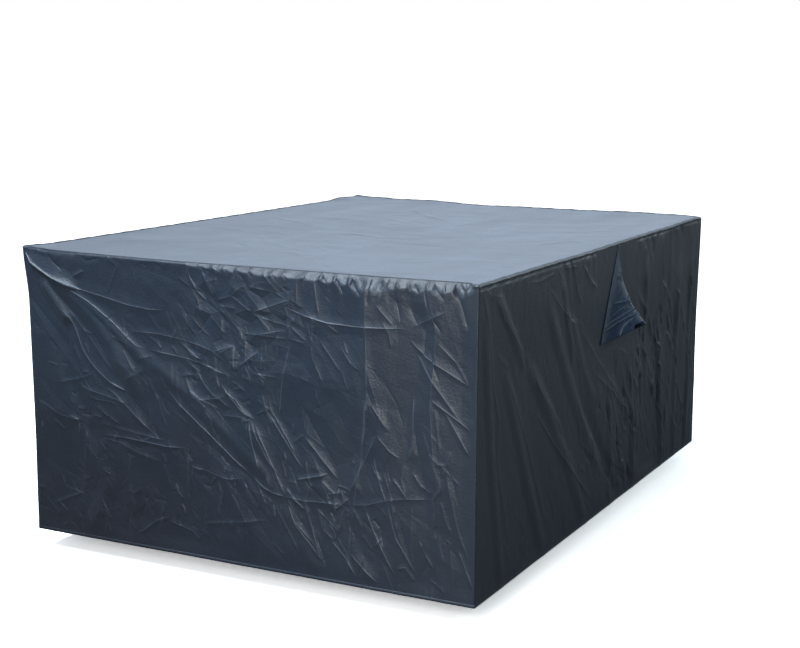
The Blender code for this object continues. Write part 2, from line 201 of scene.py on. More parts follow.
add_camera()
add_world()
bpy.context.scene.view_settings.view_transform = "Standard"
add_floor(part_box("front_panel")[0][2] - FLOOR_UNDER_HEM)
add_light("overhead", (-1.3, -1.6, 4.0), (0, -0.6, 0), (2.6, 1.8), 150, (0.88, 0.94, 1.0))
add_light("key", (-0.6, -2.7, 2.9), (-0.2, -1.0, -0.1), (2.8, 1.6), 155, (0.72, 0.87, 1.0))
add_light("sky", (-3.0, -4.2, 0.5), (-0.5, -1.0, -0.2), (1.6, 1.0), 10, (0.66, 0.85, 1.0))
add_light("warm", (1.25, -3.4, 0.4), (0.8, -1.0, -0.4), (1.6, 1.2), 50, (1.0, 0.99, 0.97))
add_light("side", (3.8, 4.4, 1.5), (0.75, 0.9, -0.3), (1.6, 1.4), 112, (0.80, 0.95, 1.0))


# The front wall: one panel of coated polyester, gathered a little where it rolls over into the top and
# stitched into a narrow hem. It keeps the creases it was packed in, and pulls away from its upper corners.
SEAM_LIP = 0.003  # the CAD top stands this far out of the walls
SHEET = 0.0015  # thickness of the CAD sheets
TOP_LOW, TOP_HIGH = (np.array(corner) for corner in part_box("top_panel"))
WIDTH, DEPTH = (TOP_HIGH - TOP_LOW)[:2] - 2 * SEAM_LIP
HEM_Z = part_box("front_panel")[0][2]
TOP_SAG = 0.012
EDGE_SAG = 0.004  # sag of the front and back edges
LONG_SAG = 0.0005  # sag of the two long edges
EDGE_Z = SHEET + TOP_SAG
HEIGHT = EDGE_Z - HEM_Z
CORNER_ROUND = 0.005  # plan radius of the upright corners
SIDE_ROLL = 0.005  # radius over which a wall turns into the top
FRONT_ROLL = 0.026
GATHERED_DEPTH = 0.048  # depth down to which the front wall may be rolled
GATHERED_POWER = 1.15
HEM_BAND = 0.009
HEM_ROLL = 0.0022  # how far the rolled hem stands out
HEM_TURN = 0.0011  # thickness of the hem's turned-up cloth
HEM_CREASED = 0.16  # the share of a crease that crosses the hem
HEM_CALM = 0.05  # creases fade over this above the hem
SEAM_CALM = 0.012  # creases fade over this at the corner seams
BROAD = 0.10  # a fold with a half-width past this is slack, and lies under the others
WALL_COLOUR = (0.0162, 0.0262, 0.0452)
THREAD_COLOUR = (0.050, 0.068, 0.092)
CREASE_HIGHLIGHT_COLOUR = (0.060, 0.080, 0.112)  # painted highlight along a sharp crease, where its ridge catches the light
CREASE_HIGHLIGHT_PINCH = 0.0018  # the pinch at which a crease's painted highlight is full
PLAIN_TONE = (0.92, 0.92, 0.92)  # shares of the cloth's colour
# A warmer, lighter tone, for painted warm light and painted sheen; the specks use it too.
SPECK_AND_LIGHT_TONE = (1.34, 1.12, 0.96)
# A darker, less blue tone, for painted shade.
PAINTED_SHADE_TONE = (0.88, 0.66, 0.60)
WEAVE = 0.0011  # from thread to thread
WEAVE_HEIGHT = 0.00003
COARSE_CRINKLE, FINE_CRINKLE = 0.0022, 0.0020  # heights at full crinkle
STITCH = 0.0032  # length of a stitch
THREAD = 0.0012  # width of a row of stitches
THREAD_HEIGHT = 0.0003

# (plan place of a corner, posts of its seam), from the front's left corner round by the right. A post is
# (depth, how far the seam stands off its upright line there along x, and along y).
CORNERS = (
    (
        (-WIDTH / 2, -DEPTH / 2),
        ((0, -0.015, 0), (0.17, -0.003, 0.003), (0.55, -0.003, 0.003), (0.88, -0.006, 0)),
    ),
    ((WIDTH / 2, -DEPTH / 2), ((0, 0, 0), (0.30, -0.002, 0.002), (0.88, -0.001, 0))),
    ((WIDTH / 2, DEPTH / 2), ((0, 0, 0), (0.40, -0.003, -0.002), (0.88, 0, 0))),
    ((-WIDTH / 2, DEPTH / 2), ((0, 0, 0), (0.25, 0.006, -0.004), (0.88, 0, 0))),
)

# Places where the top's edge stands high, or low where rise is negative: (x, y, reach, rise).
EDGE_BUMPS = (
    (-0.75, -1.00, 0.07, 0.005),
    (-0.75, 0.86, 0.07, 0.007),
    (-0.75, 1.00, 0.04, 0.006),
    (-0.64, 1.00, 0.06, 0.003),
    (-0.40, 1.00, 0.10, 0.004),
    (-0.16, 1.00, 0.10, -0.003),
    (0.47, 1.00, 0.12, 0.003),
    (0.75, 1.00, 0.04, -0.005),
    (0.75, 0.60, 0.12, -0.002),
    (0.75, -0.20, 0.20, -0.002),
)

BELOW = 1.03  # a depth past the hem
END_FADE = 0.2  # the share of a fold or crease over which it fades at each end
EDGE_ROUND = 0.0008  # radius of a crease's edge
FACET_POWER = 1.3
FACET = 0.54  # height of the slopes on both sides of a crease, as a share of its rise
PINCH = 0.36  # height of the pinched line along a crease, as a share of its rise
PINCH_WIDTH = 0.0021
LINE_REACH, LINE_FADE = 0.012, 0.004  # the line ends this far across, and fades over this
LINE_LAYERS = 4
FAR_OFF = 0.03  # a distance across a crease at which nothing of it shows
FACET_ROWS = 0.87  # distance between rows of a facet's corners, as a share of its size
FACET_STRAY = 0.42  # how far a corner strays, as a share of its size
DRAWN_FACETS = 0.03  # facets above this size have lines along their edges
LEAST_BEND, MOST_BEND = 0.05, 0.3  # changes of slope that give no line, and the strongest line
EDGE_PINCH = 1.3  # slope of the line along a facet's edge, as a share of the change of slope there
RIDGES = 0.62  # the share of scattered creases that are ridges; the others are grooves
# Painted warm light on the front wall: how much at the right, and how much lower down.
FRONT_PAINTED_LIGHT, LOW_PAINTED_LIGHT = 0.7, 0.22  # how warm its tone gets at the right, and lower down

# Soft ridges, or troughs where rise is negative, from one point of a panel to another:
# (s and depth of one end, s and depth of the other, sideways bow of the middle, half-width, rise).
FRONT_FOLDS = (
    (0.055, 0.085, 0.165, 0.22, 0.004, 0.030, 0.011),
    (0.08, 0.07, 0.48, 0.34, -0.010, 0.030, 0.008),
    (0.05, 0.06, 0.42, 0.45, -0.050, 0.045, 0.010),
    (0.10, 0.22, 0.26, 0.60, 0.010, 0.050, -0.006),
    (0.36, 0.25, 0.94, 0.68, -0.020, 0.032, 0.006),
    (0.86, 0.62, 1.10, BELOW, -0.010, 0.034, 0.004),
    (1.02, 0.62, 1.30, BELOW, 0.000, 0.034, 0.004),
    (0.30, 0.66, 0.16, BELOW, 0.010, 0.045, 0.005),
    (0.55, 0.05, 0.62, BELOW, 0.040, 0.220, -0.007),
    (0.98, 0.10, 0.95, 0.95, 0.000, 0.160, 0.006),
)

# Sharp creases along a path, in millimetres: (rise, over, under, s and depth of each point of the path). over
# is how far a crease reaches above a path that runs to the right, which is to the right of one that runs
# down, and under is how far it reaches on the other side.
FRONT_CREASES = (
    # The upright ridges at the right, where the cloth hangs loose from the gathered edge.
    (4, 24, 16, 1166, 14, 1169, 150, 1174, 330, 1150, 520, 1120, 700),
    (3, 24, 16, 1350, 16, 1378, 140, 1362, 340, 1380, 560),
    # The fan of pulls at the upper left corner.
    (25, 46, 16, 9, 14, 31, 44, 60, 60, 110, 82, 172, 101, 204, 112),
    (5, 34, 30, 110, 82, 170, 103, 371, 141, 453, 149, 508, 146),
    (4.2, 26, 30, 107, 93, 164, 111, 231, 143, 313, 195, 399, 260, 437, 269),
    (4.5, 26, 22, 438, 268, 626, 288, 740, 321),
    (4, 24, 24, 362, 219, 478, 219, 617, 235, 674, 250, 741, 294),
    (5.4, 30, 16, 126, 170, 159, 199, 180, 235, 200, 288, 227, 323, 260, 352, 304, 380, 382, 411),
    (2.5, 12, 14, 144, 164, 328, 359),
    (4, 10, 14, 180, 73, 225, 52),
    (2, 12, 16, 290, -16, 349, 30, 294, 124),
    (1.8, 10, 10, 442, 157, 481, 210),
    (2, 10, 10, 469, 231, 484, 264),
    (2.2, 12, 10, 510, 147, 532, 216),
    (2.2, 12, 10, 526, 150, 551, 199),
    (2.4, 12, 10, 561, 147, 612, 209),
    (3, 18, 12, 547, 233, 631, 281),
    (2.6, 14, 12, 566, 236, 620, 291),
    (3.5, 22, 14, 572, 284, 609, 308, 629, 341, 665, 378),
    (2.2, 12, 10, 560, 326, 598, 329, 629, 339),
    (2.4, 14, 12, 568, 339, 586, 373, 611, 407),
    (2.8, 18, 14, 680, 260, 687, 340, 697, 363),
    (3, 16, 14, 684, 258, 742, 227),
    (3, 22, 22, 742, 226, 745, 301),
    (2.4, 16, 16, 762, 235, 748, 300),
    (3, 16, 14, 756, 286, 824, 236),
    (2.6, 14, 12, 780, 282, 794, 311, 797, 335),
    (2.6, 14, 12, 351, 276, 393, 341),
    (2.4, 14, 16, 356, 368, 424, 330),
    (2.2, 10, 12, 401, 281, 404, 299, 448, 287, 461, 291),
    (2.4, 12, 12, 434, 353, 470, 422),
    (2, 10, 10, 426, 358, 433, 403),
    (2, 10, 10, 518, 299, 530, 379),
    (2.4, 10, 16, 98, 402, 178, 384, 237, 361),
    (3.5, 14, 20, 174, 395, 206, 409, 358, 437),
    (2.6, 14, 12, 303, 413, 325, 420, 352, 454),
    (3, 26, 14, 290, 197, 317, 241, 366, 254, 387, 284),
    # The crumpled stretch under the middle of the edge.
    (5, 20, 14, 591, 1, 602, 44, 627, 83, 652, 108),
    (4, 18, 14, 645, 24, 683, 92),
    (3, 14, 14, 559, 42, 601, 71, 623, 103, 635, 154),
    (2.2, 10, 12, 657, 50, 696, 41),
    (3.2, 16, 16, 682, 104, 737, 85, 770, 58, 792, 50),
    (4, 24, 14, 737, 85, 806, 125),
    (3.4, 18, 20, 792, 51, 883, 64, 915, 77),
    (3, 16, 14, 840, 8, 901, 69),
    (4.5, 18, 22, 806, 126, 929, 81),
    (3.5, 18, 14, 806, 126, 837, 145, 859, 167, 863, 179),
    (3, 14, 16, 809, 128, 844, 141, 946, 158),
    (3, 12, 16, 690, 116, 752, 120),
    (3.6, 22, 14, 691, 119, 770, 187),
    (3, 16, 12, 664, 146, 716, 199),
    (2.6, 14, 12, 598, 154, 624, 185, 662, 209),
    (3.6, 16, 18, 770, 189, 824, 188, 911, 168),
    (3, 14, 10, 824, 189, 919, 191),
    (3, 14, 12, 822, 130, 862, 180),
    (4, 16, 14, 931, 155, 983, 192),
    (2.6, 10, 12, 927, 189, 979, 198),
    (2.4, 10, 10, 928, 158, 927, 196),
    (5.5, 20, 26, 916, 101, 956, 116, 1047, 136, 1125, 139, 1285, 133),
    (3, 14, 18, 1305, 126, 1406, 78),
    (2.6, 12, 12, 943, 130, 925, 153, 919, 170),
    (3, 12, 18, 1198, 73, 1249, 126),
    (2.8, 12, 14, 1217, 117, 1237, 146, 1245, 190),
    (4.2, 22, 14, 1296, 162, 1345, 203, 1477, 275),
    (5, 34, 18, 1319, 198, 1357, 254, 1448, 368),
    (2, 10, 10, 953, 13, 953, 89),
    (2.6, 14, 12, 1006, 19, 1022, 121),
    (2.4, 12, 12, 1047, 140, 1080, 162),
    (3, 26, 14, 1025, 187, 1094, 271),
    (3.4, 26, 16, 1088, 197, 1124, 241, 1151, 258),
    (4, 30, 26, 929, 196, 898, 351, 889, 429),
    (2.6, 10, 14, 797, 301, 886, 304),
    (2.6, 12, 12, 826, 306, 840, 318, 837, 341),
    (3, 18, 14, 832, 351, 852, 411, 876, 458),
    (3.2, 16, 16, 674, 251, 743, 225),
    (3.4, 22, 18, 741, 225, 742, 285, 754, 300),
    (2.8, 16, 14, 758, 288, 820, 237),
    (3, 18, 14, 679, 252, 679, 313, 696, 364),
    (3.2, 18, 14, 556, 236, 595, 266, 637, 279),
    (3.2, 18, 14, 567, 291, 607, 309, 638, 351, 683, 392),
    (2.6, 12, 12, 552, 335, 593, 328),
    (3, 18, 14, 569, 338, 591, 378, 656, 433),
    (3, 12, 14, 614, 399, 677, 389, 713, 376),
    (6, 24, 18, 695, 342, 768, 415, 807, 435),
    (2.2, 10, 10, 727, 353, 769, 349),
    (3, 24, 22, 779, 193, 784, 258, 797, 301),
    (2.6, 20, 20, 836, 210, 833, 297),
    (2, 12, 12, 966, 294, 990, 303),
    (2.4, 16, 14, 998, 195, 1003, 237, 1039, 308),
    # The long diagonal, and the creases below it.
    (7, 60, 26, 503, 383, 540, 418, 787, 598),
    (5, 22, 16, 706, 361, 747, 383, 790, 435),
    (5, 40, 30, 790, 437, 804, 518, 826, 584),
    (4, 26, 20, 793, 433, 820, 492, 851, 545, 889, 588),
    (3, 16, 14, 688, 416, 701, 435, 760, 433, 793, 442),
    (3.2, 22, 16, 587, 374, 621, 396, 688, 419),
    (3, 18, 22, 634, 422, 660, 453, 670, 506),
    (2.4, 14, 12, 660, 407, 721, 471),
    (2.4, 14, 12, 620, 497, 645, 533, 652, 571),
    (2.6, 10, 12, 16, 464, 112, 503, 190, 511),
    (2.6, 14, 14, 192, 419, 240, 438, 301, 440, 338, 449),
    (3.4, 18, 14, 239, 457, 335, 507),
    (4, 18, 14, 320, 414, 432, 509),
    (2.2, 12, 12, 434, 440, 445, 505),
    (2.4, 14, 12, 459, 388, 474, 445, 499, 502),
    (5, 34, 12, 258, 545, 357, 545, 494, 555, 569, 551),
    (2.2, 8, 10, 255, 510, 494, 538),
    (2.4, 10, 8, 370, 523, 411, 548, 449, 532, 454, 553),
    (2.6, 14, 14, 265, 556, 332, 563, 380, 582, 477, 605),
    (1.8, 12, 12, 215, 445, 182, 753),
    (2.2, 10, 10, 202, 581, 246, 626),
    (1.8, 8, 8, 265, 559, 278, 576),
    (1.8, 8, 8, 282, 600, 312, 625),
    (1.6, 8, 8, 261, 612, 279, 624),
    (1.8, 8, 8, 258, 648, 290, 654),
    (1.6, 10, 10, 294, 653, 316, 719),
    (1.8, 10, 10, 349, 706, 377, 713, 405, 694),
    (2, 8, 12, 5, 743, 41, 740),
    (3, 12, 10, 130, 732, 178, 739, 64, 789),
    (2.4, 10, 10, 39, 771, 97, 823),
    (2, 10, 10, 203, 788, 222, 831),
    (2.4, 8, 8, 130, 837, 162, 864),
    (2, 10, 10, 404, 714, 445, 782),
    (1.8, 8, 8, 357, 798, 381, 831),
    (1.8, 8, 8, 452, 687, 468, 725),
    (2.2, 12, 12, 480, 603, 508, 674),
    (2.4, 10, 16, 570, 532, 569, 721),
    (2, 8, 10, 570, 721, 599, 741),
    (2, 8, 10, 575, 731, 604, 772),
    (3.6, 18, 18, 573, 603, 716, 622, 764, 615),
    (2.6, 14, 12, 681, 631, 694, 669, 680, 715, 678, 746),
    (2.2, 10, 10, 709, 624, 734, 654),
    (3, 12, 16, 381, 840, 405, 827, 455, 788, 505, 768),
    (3, 14, 12, 494, 780, 585, 803, 614, 831),
    (2.6, 10, 16, 615, 773, 848, 727),
    (1.8, 8, 8, 339, 749, 347, 784),
    (1.8, 8, 8, 88, 546, 101, 596),
    # The lower fold and the slanting creases that run from it to the hem.
    (6, 20, 22, 798, 604, 836, 630, 868, 641, 906, 646),
    (3.6, 16, 20, 906, 646, 972, 651, 1098, 645),
    (3, 18, 18, 1098, 645, 1166, 637, 1237, 612, 1290, 602, 1366, 596),
    (5, 26, 16, 811, 451, 909, 645),
    (5, 22, 14, 852, 407, 974, 565),
    (3, 14, 10, 863, 401, 946, 518),
    (4.5, 16, 14, 974, 462, 1076, 575),
    (2.6, 12, 12, 934, 487, 973, 459),
    (5, 12, 12, 944, 593, 1046, 564),
    (2.2, 8, 8, 916, 601, 946, 602),
    (3.6, 16, 12, 1028, 584, 1054, 639),
    (2.6, 10, 12, 1045, 622, 1096, 608, 1107, 618),
    (4, 18, 18, 1068, 664, 1113, 626),
    (4.2, 26, 22, 1105, 626, 1203, 430),
    (3.4, 12, 22, 1170, 339, 1166, 420, 1154, 478),
    (3.6, 18, 12, 1183, 343, 1238, 419),
    (3.6, 22, 16, 1201, 431, 1243, 474, 1274, 493),
    (3.4, 16, 20, 998, 594, 975, 653, 989, 695),
    (4.6, 22, 18, 972, 653, 1025, 825),
    (3.8, 20, 14, 874, 673, 961, 810),
    (3.4, 18, 14, 912, 656, 943, 725, 1037, 830),
    (3, 14, 14, 1012, 664, 1031, 728, 1068, 757),
    (4, 22, 16, 1055, 755, 1104, 801, 1142, 856),
    (3, 18, 18, 1077, 735, 1099, 652),
    (3, 18, 16, 1071, 733, 1104, 784, 1124, 840),
    (2.6, 14, 14, 1106, 650, 1115, 727, 1113, 842),
    (4.4, 26, 18, 1115, 782, 1205, 858),
    (5, 26, 18, 1163, 642, 1190, 704, 1263, 833),
    (4.4, 30, 20, 1190, 497, 1214, 575, 1235, 624),
    (4.6, 26, 20, 1236, 623, 1261, 715, 1328, 822),
    (3, 14, 14, 1261, 804, 1291, 798, 1322, 838),
    (5, 60, 16, 1310, 313, 1307, 461, 1289, 500),
    (3.6, 24, 14, 1285, 501, 1278, 550, 1292, 602),
    (2.4, 14, 14, 1308, 610, 1310, 798),
    (4.6, 22, 14, 1364, 318, 1477, 389),
    (4.6, 28, 16, 1406, 349, 1480, 462),
    (3, 20, 20, 1424, 451, 1402, 528),
    (4, 22, 16, 1411, 514, 1449, 675, 1484, 758),
    (2.6, 12, 12, 1388, 524, 1395, 561, 1371, 596),
    (2.6, 12, 12, 1359, 465, 1388, 493, 1411, 492),
    (2.6, 14, 12, 1398, 694, 1421, 707, 1432, 786, 1432, 843),
    (3.4, 16, 14, 1447, 724, 1497, 834),
    (2.6, 12, 12, 1360, 820, 1415, 850),
    (2.4, 12, 12, 1118, 512, 1130, 527),
    (2.4, 14, 12, 1153, 721, 1190, 765),
    (3, 14, 12, 1308, 525, 1334, 561, 1371, 580),
    (2.4, 12, 12, 943, 719, 1005, 777),
    # Puckers under the seam, where the wall is gathered: these are grooves.
    (-4, 8, 10, 1070, 8, 1084, 24, 1097, 53),
    (-5, 10, 16, 1117, 7, 1152, 55),
    (-3, 8, 8, 1027, 2, 1045, 26),
    (-5.5, 9, 12, 1179, 3, 1175, 79),
    (-3, 7, 8, 1296, 6, 1300, 31),
    (-5, 8, 22, 1348, 5, 1345, 35, 1355, 85, 1395, 137),
    (-3.5, 8, 8, 1307, 11, 1324, 34),
    (-4, 8, 10, 1365, 6, 1403, 48),
    (-3.5, 8, 8, 1398, 4, 1406, 27),
    (-5, 10, 16, 1426, 6, 1447, 52, 1470, 125),
    (-3.5, 8, 8, 1439, 4, 1455, 24),
    (-2.6, 8, 8, 1463, 3, 1472, 27),
    (-3, 8, 8, 1232, 7, 1219, 29, 1210, 58),
    (-2.6, 7, 8, 1262, 6, 1270, 25),
    (-2.6, 8, 8, 717, 11, 734, 23),
    (-3, 8, 8, 758, 11, 780, 33),
    (-2.6, 7, 7, 806, 8, 812, 31),
    (-2.6, 7, 8, 874, 11, 886, 28),
    (-2.6, 8, 8, 911, 11, 920, 26),
    (-2.2, 8, 8, 976, 9, 982, 21),
    (-3.5, 12, 14, 89, 7, 113, 37, 149, 60),
    (-2.6, 10, 10, 218, 9, 237, 22, 288, 11),
    (-2.4, 10, 10, 300, 4, 313, 16),
    (-2.2, 10, 10, 347, 7, 359, 22),
    (-2.2, 10, 10, 442, 8, 449, 25),
    (-2.6, 10, 10, 475, 8, 502, 21),
    (-3.5, 12, 12, 590, 5, 602, 38, 625, 67),
    (-3, 10, 10, 637, 5, 657, 34),
    (-2.4, 8, 8, 681, 6, 712, 19),
    (-2.4, 8, 8, 745, 8, 753, 23),
    (-2.4, 8, 8, 798, 11, 808, 27),
)

# Patches of flat facets: (s, depth, reach along s, reach down, size of a facet, how many times longer it is
# along its slant, slant in degrees down to the right, rise).
FRONT_CRUMPLES = (
    (0.75, 0.44, 1.20, 0.90, 0.120, 1.7, 52, 0.0052),
    (0.80, 0.34, 0.50, 0.38, 0.052, 1.5, 48, 0.0030),
    (0.78, 0.16, 0.30, 0.16, 0.034, 1.3, 40, 0.0040),
    (0.95, 0.64, 0.50, 0.26, 0.074, 2.3, 60, 0.0046),
    (0.30, 0.50, 0.34, 0.30, 0.060, 2.0, 45, 0.0040),
    (1.32, 0.45, 0.26, 0.70, 0.070, 3.0, 82, 0.0032),
    (0.40, 0.74, 0.66, 0.24, 0.046, 1.8, 62, 0.0026),
    (0.75, 0.50, 1.20, 0.60, 0.024, 1.6, 50, 0.0007),
)

# Short creases scattered round a place: (count, s, depth, reach along s, reach down, length, slant in degrees
# down to the right, spread of the slant, rise, how far a crease reaches to each side).
FRONT_SCATTERS = (
    (60, 0.72, 0.26, 0.34, 0.24, 0.060, 55, 40, 0.0023, 0.008),
    (55, 0.62, 0.46, 0.44, 0.26, 0.055, 60, 30, 0.0022, 0.008),
    (50, 0.98, 0.66, 0.44, 0.22, 0.075, 64, 18, 0.0032, 0.010),
    (110, 0.42, 0.72, 0.56, 0.24, 0.042, 58, 35, 0.0021, 0.006),
    (24, 1.34, 0.50, 0.20, 0.60, 0.120, 78, 10, 0.0022, 0.010),
    (40, 0.22, 0.44, 0.24, 0.34, 0.040, 45, 35, 0.0026, 0.008),
)

# Where the loose cloth at the right is bent into upright pleats: at each depth, the s of the bends, and
# how far the cloth stands out at each bend.
PLEAT_DEPTHS = (0.06, 0.14, 0.36, 0.58, 0.86)
PLEAT_BENDS = (
    (0.850, 1.10, 1.170, 1.300, 1.345, 1.430, WIDTH),
    (0.850, 1.10, 1.173, 1.345, 1.385, 1.450, WIDTH),
    (0.850, 0.98, 1.185, 1.304, 1.360, 1.455, WIDTH),
    (0.850, 1.00, 1.250, 1.350, 1.380, 1.460, WIDTH),
    (0.850, 1.05, 1.280, 1.370, 1.400, 1.470, WIDTH),
)
PLEAT_RISES = (0.0, -0.002, 0.007, -0.006, 0.003, -0.003, 0.0)

# (s of a notch in the gathered edge, how far the cloth to its right hangs over).
FRONT_SCALLOPS = (
    (0.000, 0.008), (0.060, 0.012), (0.200, 0.006), (0.345, 0.006), (0.475, 0.006), (0.590, 0.011),
    (0.637, 0.014), (0.681, 0.016), (0.717, 0.018), (0.758, 0.016), (0.806, 0.021), (0.874, 0.020),
    (0.911, 0.022), (0.976, 0.024), (1.027, 0.026), (1.070, 0.030), (1.117, 0.044), (1.179, 0.046),
    (1.232, 0.030), (1.262, 0.026), (1.296, 0.034), (1.348, 0.024), (1.365, 0.034), (1.398, 0.028),
    (1.426, 0.042), (1.463, 0.024), (1.494, 0.008),
)

# (first s, last s, usual spacing, depth that they reach, rise).
FRONT_PUCKERS = (
    (0.03, 0.50, 0.046, 0.030, 0.0016),
    (0.52, 0.98, 0.036, 0.050, 0.0018),
    (0.98, 1.20, 0.036, 0.080, 0.0024),
    (1.20, 1.47, 0.030, 0.065, 0.0024),
)


def smooth(t):
    """0 up to t = 0 and 1 from t = 1 on, with level ends."""
    t = np.clip(t, 0.0, 1.0)
    return t * t * (3.0 - 2.0 * t)


def ends_fade(along):
    """How much of a fold or crease is left at a share of the way along it: none at its ends, and all of it
    between them."""
    return smooth(along / END_FADE) * smooth((1.0 - along) / END_FADE)


def fold_rise(s, depth, folds):
    """The highest soft ridge at each point, the deepest trough and the broad slack, added."""
    ridge, trough, slack = (np.zeros(s.shape) for _ in range(3))
    for s0, d0, s1, d1, bow, half, rise in folds:
        run_s, run_d = s1 - s0, d1 - d0
        length = math.hypot(run_s, run_d)
        along = ((s - s0) * run_s + (depth - d0) * run_d) / length**2
        across = ((depth - d0) * run_s - (s - s0) * run_d) / length
        across = across - bow * 4.0 * along * (1.0 - along)
        shape = rise * smooth(1.0 - np.abs(across) / half) * ends_fade(along)
        if half > BROAD:
            slack += shape
        elif rise > 0.0:
            ridge = np.maximum(ridge, shape)
        else:
            trough = np.minimum(trough, shape)
    return ridge + trough + slack


def crease_rise(s_line, d_line, creases):
    """Sum of the creases, on the grid of s_line by d_line: each is highest along its path and falls on both
    sides as a power of the share of its reach that is left. With it come the fields that draw the pinched
    line along each crease: the signed distance across it, and the line's height. Creases that cross or lie
    close have their fields in different layers."""
    shape = (len(d_line), len(s_line))
    total = np.zeros(shape)
    offset, pinch = np.full((LINE_LAYERS, *shape), FAR_OFF), np.zeros((LINE_LAYERS, *shape))
    for rise, over, under, *path in creases:
        path = np.array(path).reshape(-1, 2) / 1000
        widest = max(over / 1000, under / 1000, LINE_REACH + LINE_FADE)
        low, high = path.min(axis=0) - widest, path.max(axis=0) + widest
        columns = slice(*np.searchsorted(s_line, (low[0], high[0])))
        rows = slice(*np.searchsorted(d_line, (low[1], high[1])))
        s, depth = np.meshgrid(s_line[columns], d_line[rows])
        runs = np.diff(path, axis=0)
        lengths = np.hypot(*runs.T)
        begins = np.concatenate([[0.0], np.cumsum(lengths)])
        nearest, across, along = np.full(s.shape, np.inf), np.zeros(s.shape), np.zeros(s.shape)
        for start, run, length, begin in zip(path, runs, lengths, begins):
            t = np.clip(((s - start[0]) * run[0] + (depth - start[1]) * run[1]) / length**2, 0.0, 1.0)
            off_s, off_d = s - start[0] - t * run[0], depth - start[1] - t * run[1]
            distance = np.hypot(off_s, off_d)
            closer = distance < nearest
            side = np.where(off_d * run[0] - off_s * run[1] > 0.0, 1.0, -1.0)
            nearest = np.where(closer, distance, nearest)
            across = np.where(closer, side * distance, across)
            along = np.where(closer, (begin + t * length) / begins[-1], along)
        middle = np.sin(math.pi * np.clip(along, 0.02, 0.98)) ** 0.7
        reach = np.where(across > 0.0, under, over) / 1000 * (0.35 + 0.65 * middle)
        rounded = np.sqrt(nearest**2 + EDGE_ROUND**2) - EDGE_ROUND
        ends = ends_fade(along)
        facet = FACET * rise / 1000 * np.clip(1.0 - rounded / reach, 0.0, 1.0) ** FACET_POWER
        total[rows, columns] += facet * ends
        line = PINCH * rise / 1000 * ends**0.5 * smooth((LINE_REACH - nearest) / LINE_FADE)
        near_line = nearest < LINE_REACH + LINE_FADE / 2
        layer = int(np.argmin((np.abs(pinch[:, rows, columns]) * near_line).sum(axis=(1, 2))))
        old_pinch, old_offset = pinch[layer, rows, columns], offset[layer, rows, columns]
        taken = (np.abs(line) > np.abs(old_pinch)) | ((old_pinch == 0.0) & (nearest < np.abs(old_offset)))
        old_pinch[taken], old_offset[taken] = line[taken], across[taken]
    fields = {f"crease_offset_{layer}": offset[layer] for layer in range(LINE_LAYERS)}
    return total, fields | {f"crease_pinch_{layer}": pinch[layer] for layer in range(LINE_LAYERS)}


def scattered(scatters, seed):
    """Short straight creases, placed at random round the middle of each scatter."""
    chance = np.random.default_rng(seed)
    creases = []
    for count, s, depth, reach_s, reach_d, length, slant, spread, rise, reach in scatters:
        for _ in range(count):
            middle = np.array((s, depth)) + chance.normal(0, 0.5, 2) * (reach_s, reach_d)
            turn = math.radians(slant + chance.normal(0, spread))
            half = length * chance.uniform(0.4, 1.3) / 2 * np.array((math.cos(turn), math.sin(turn)))
            kink = chance.normal(0, 0.10) * np.array((-half[1], half[0]))
            path = 1000 * np.array((middle - half, middle + kink, middle + half))
            over, under = reach * 1000 * chance.uniform(0.5, 1.5, 2)
            side = 1 if chance.random() < RIDGES else -1
            creases.append((side * 1000 * rise * chance.uniform(0.4, 1.3), over, under, *path.ravel()))
    return creases


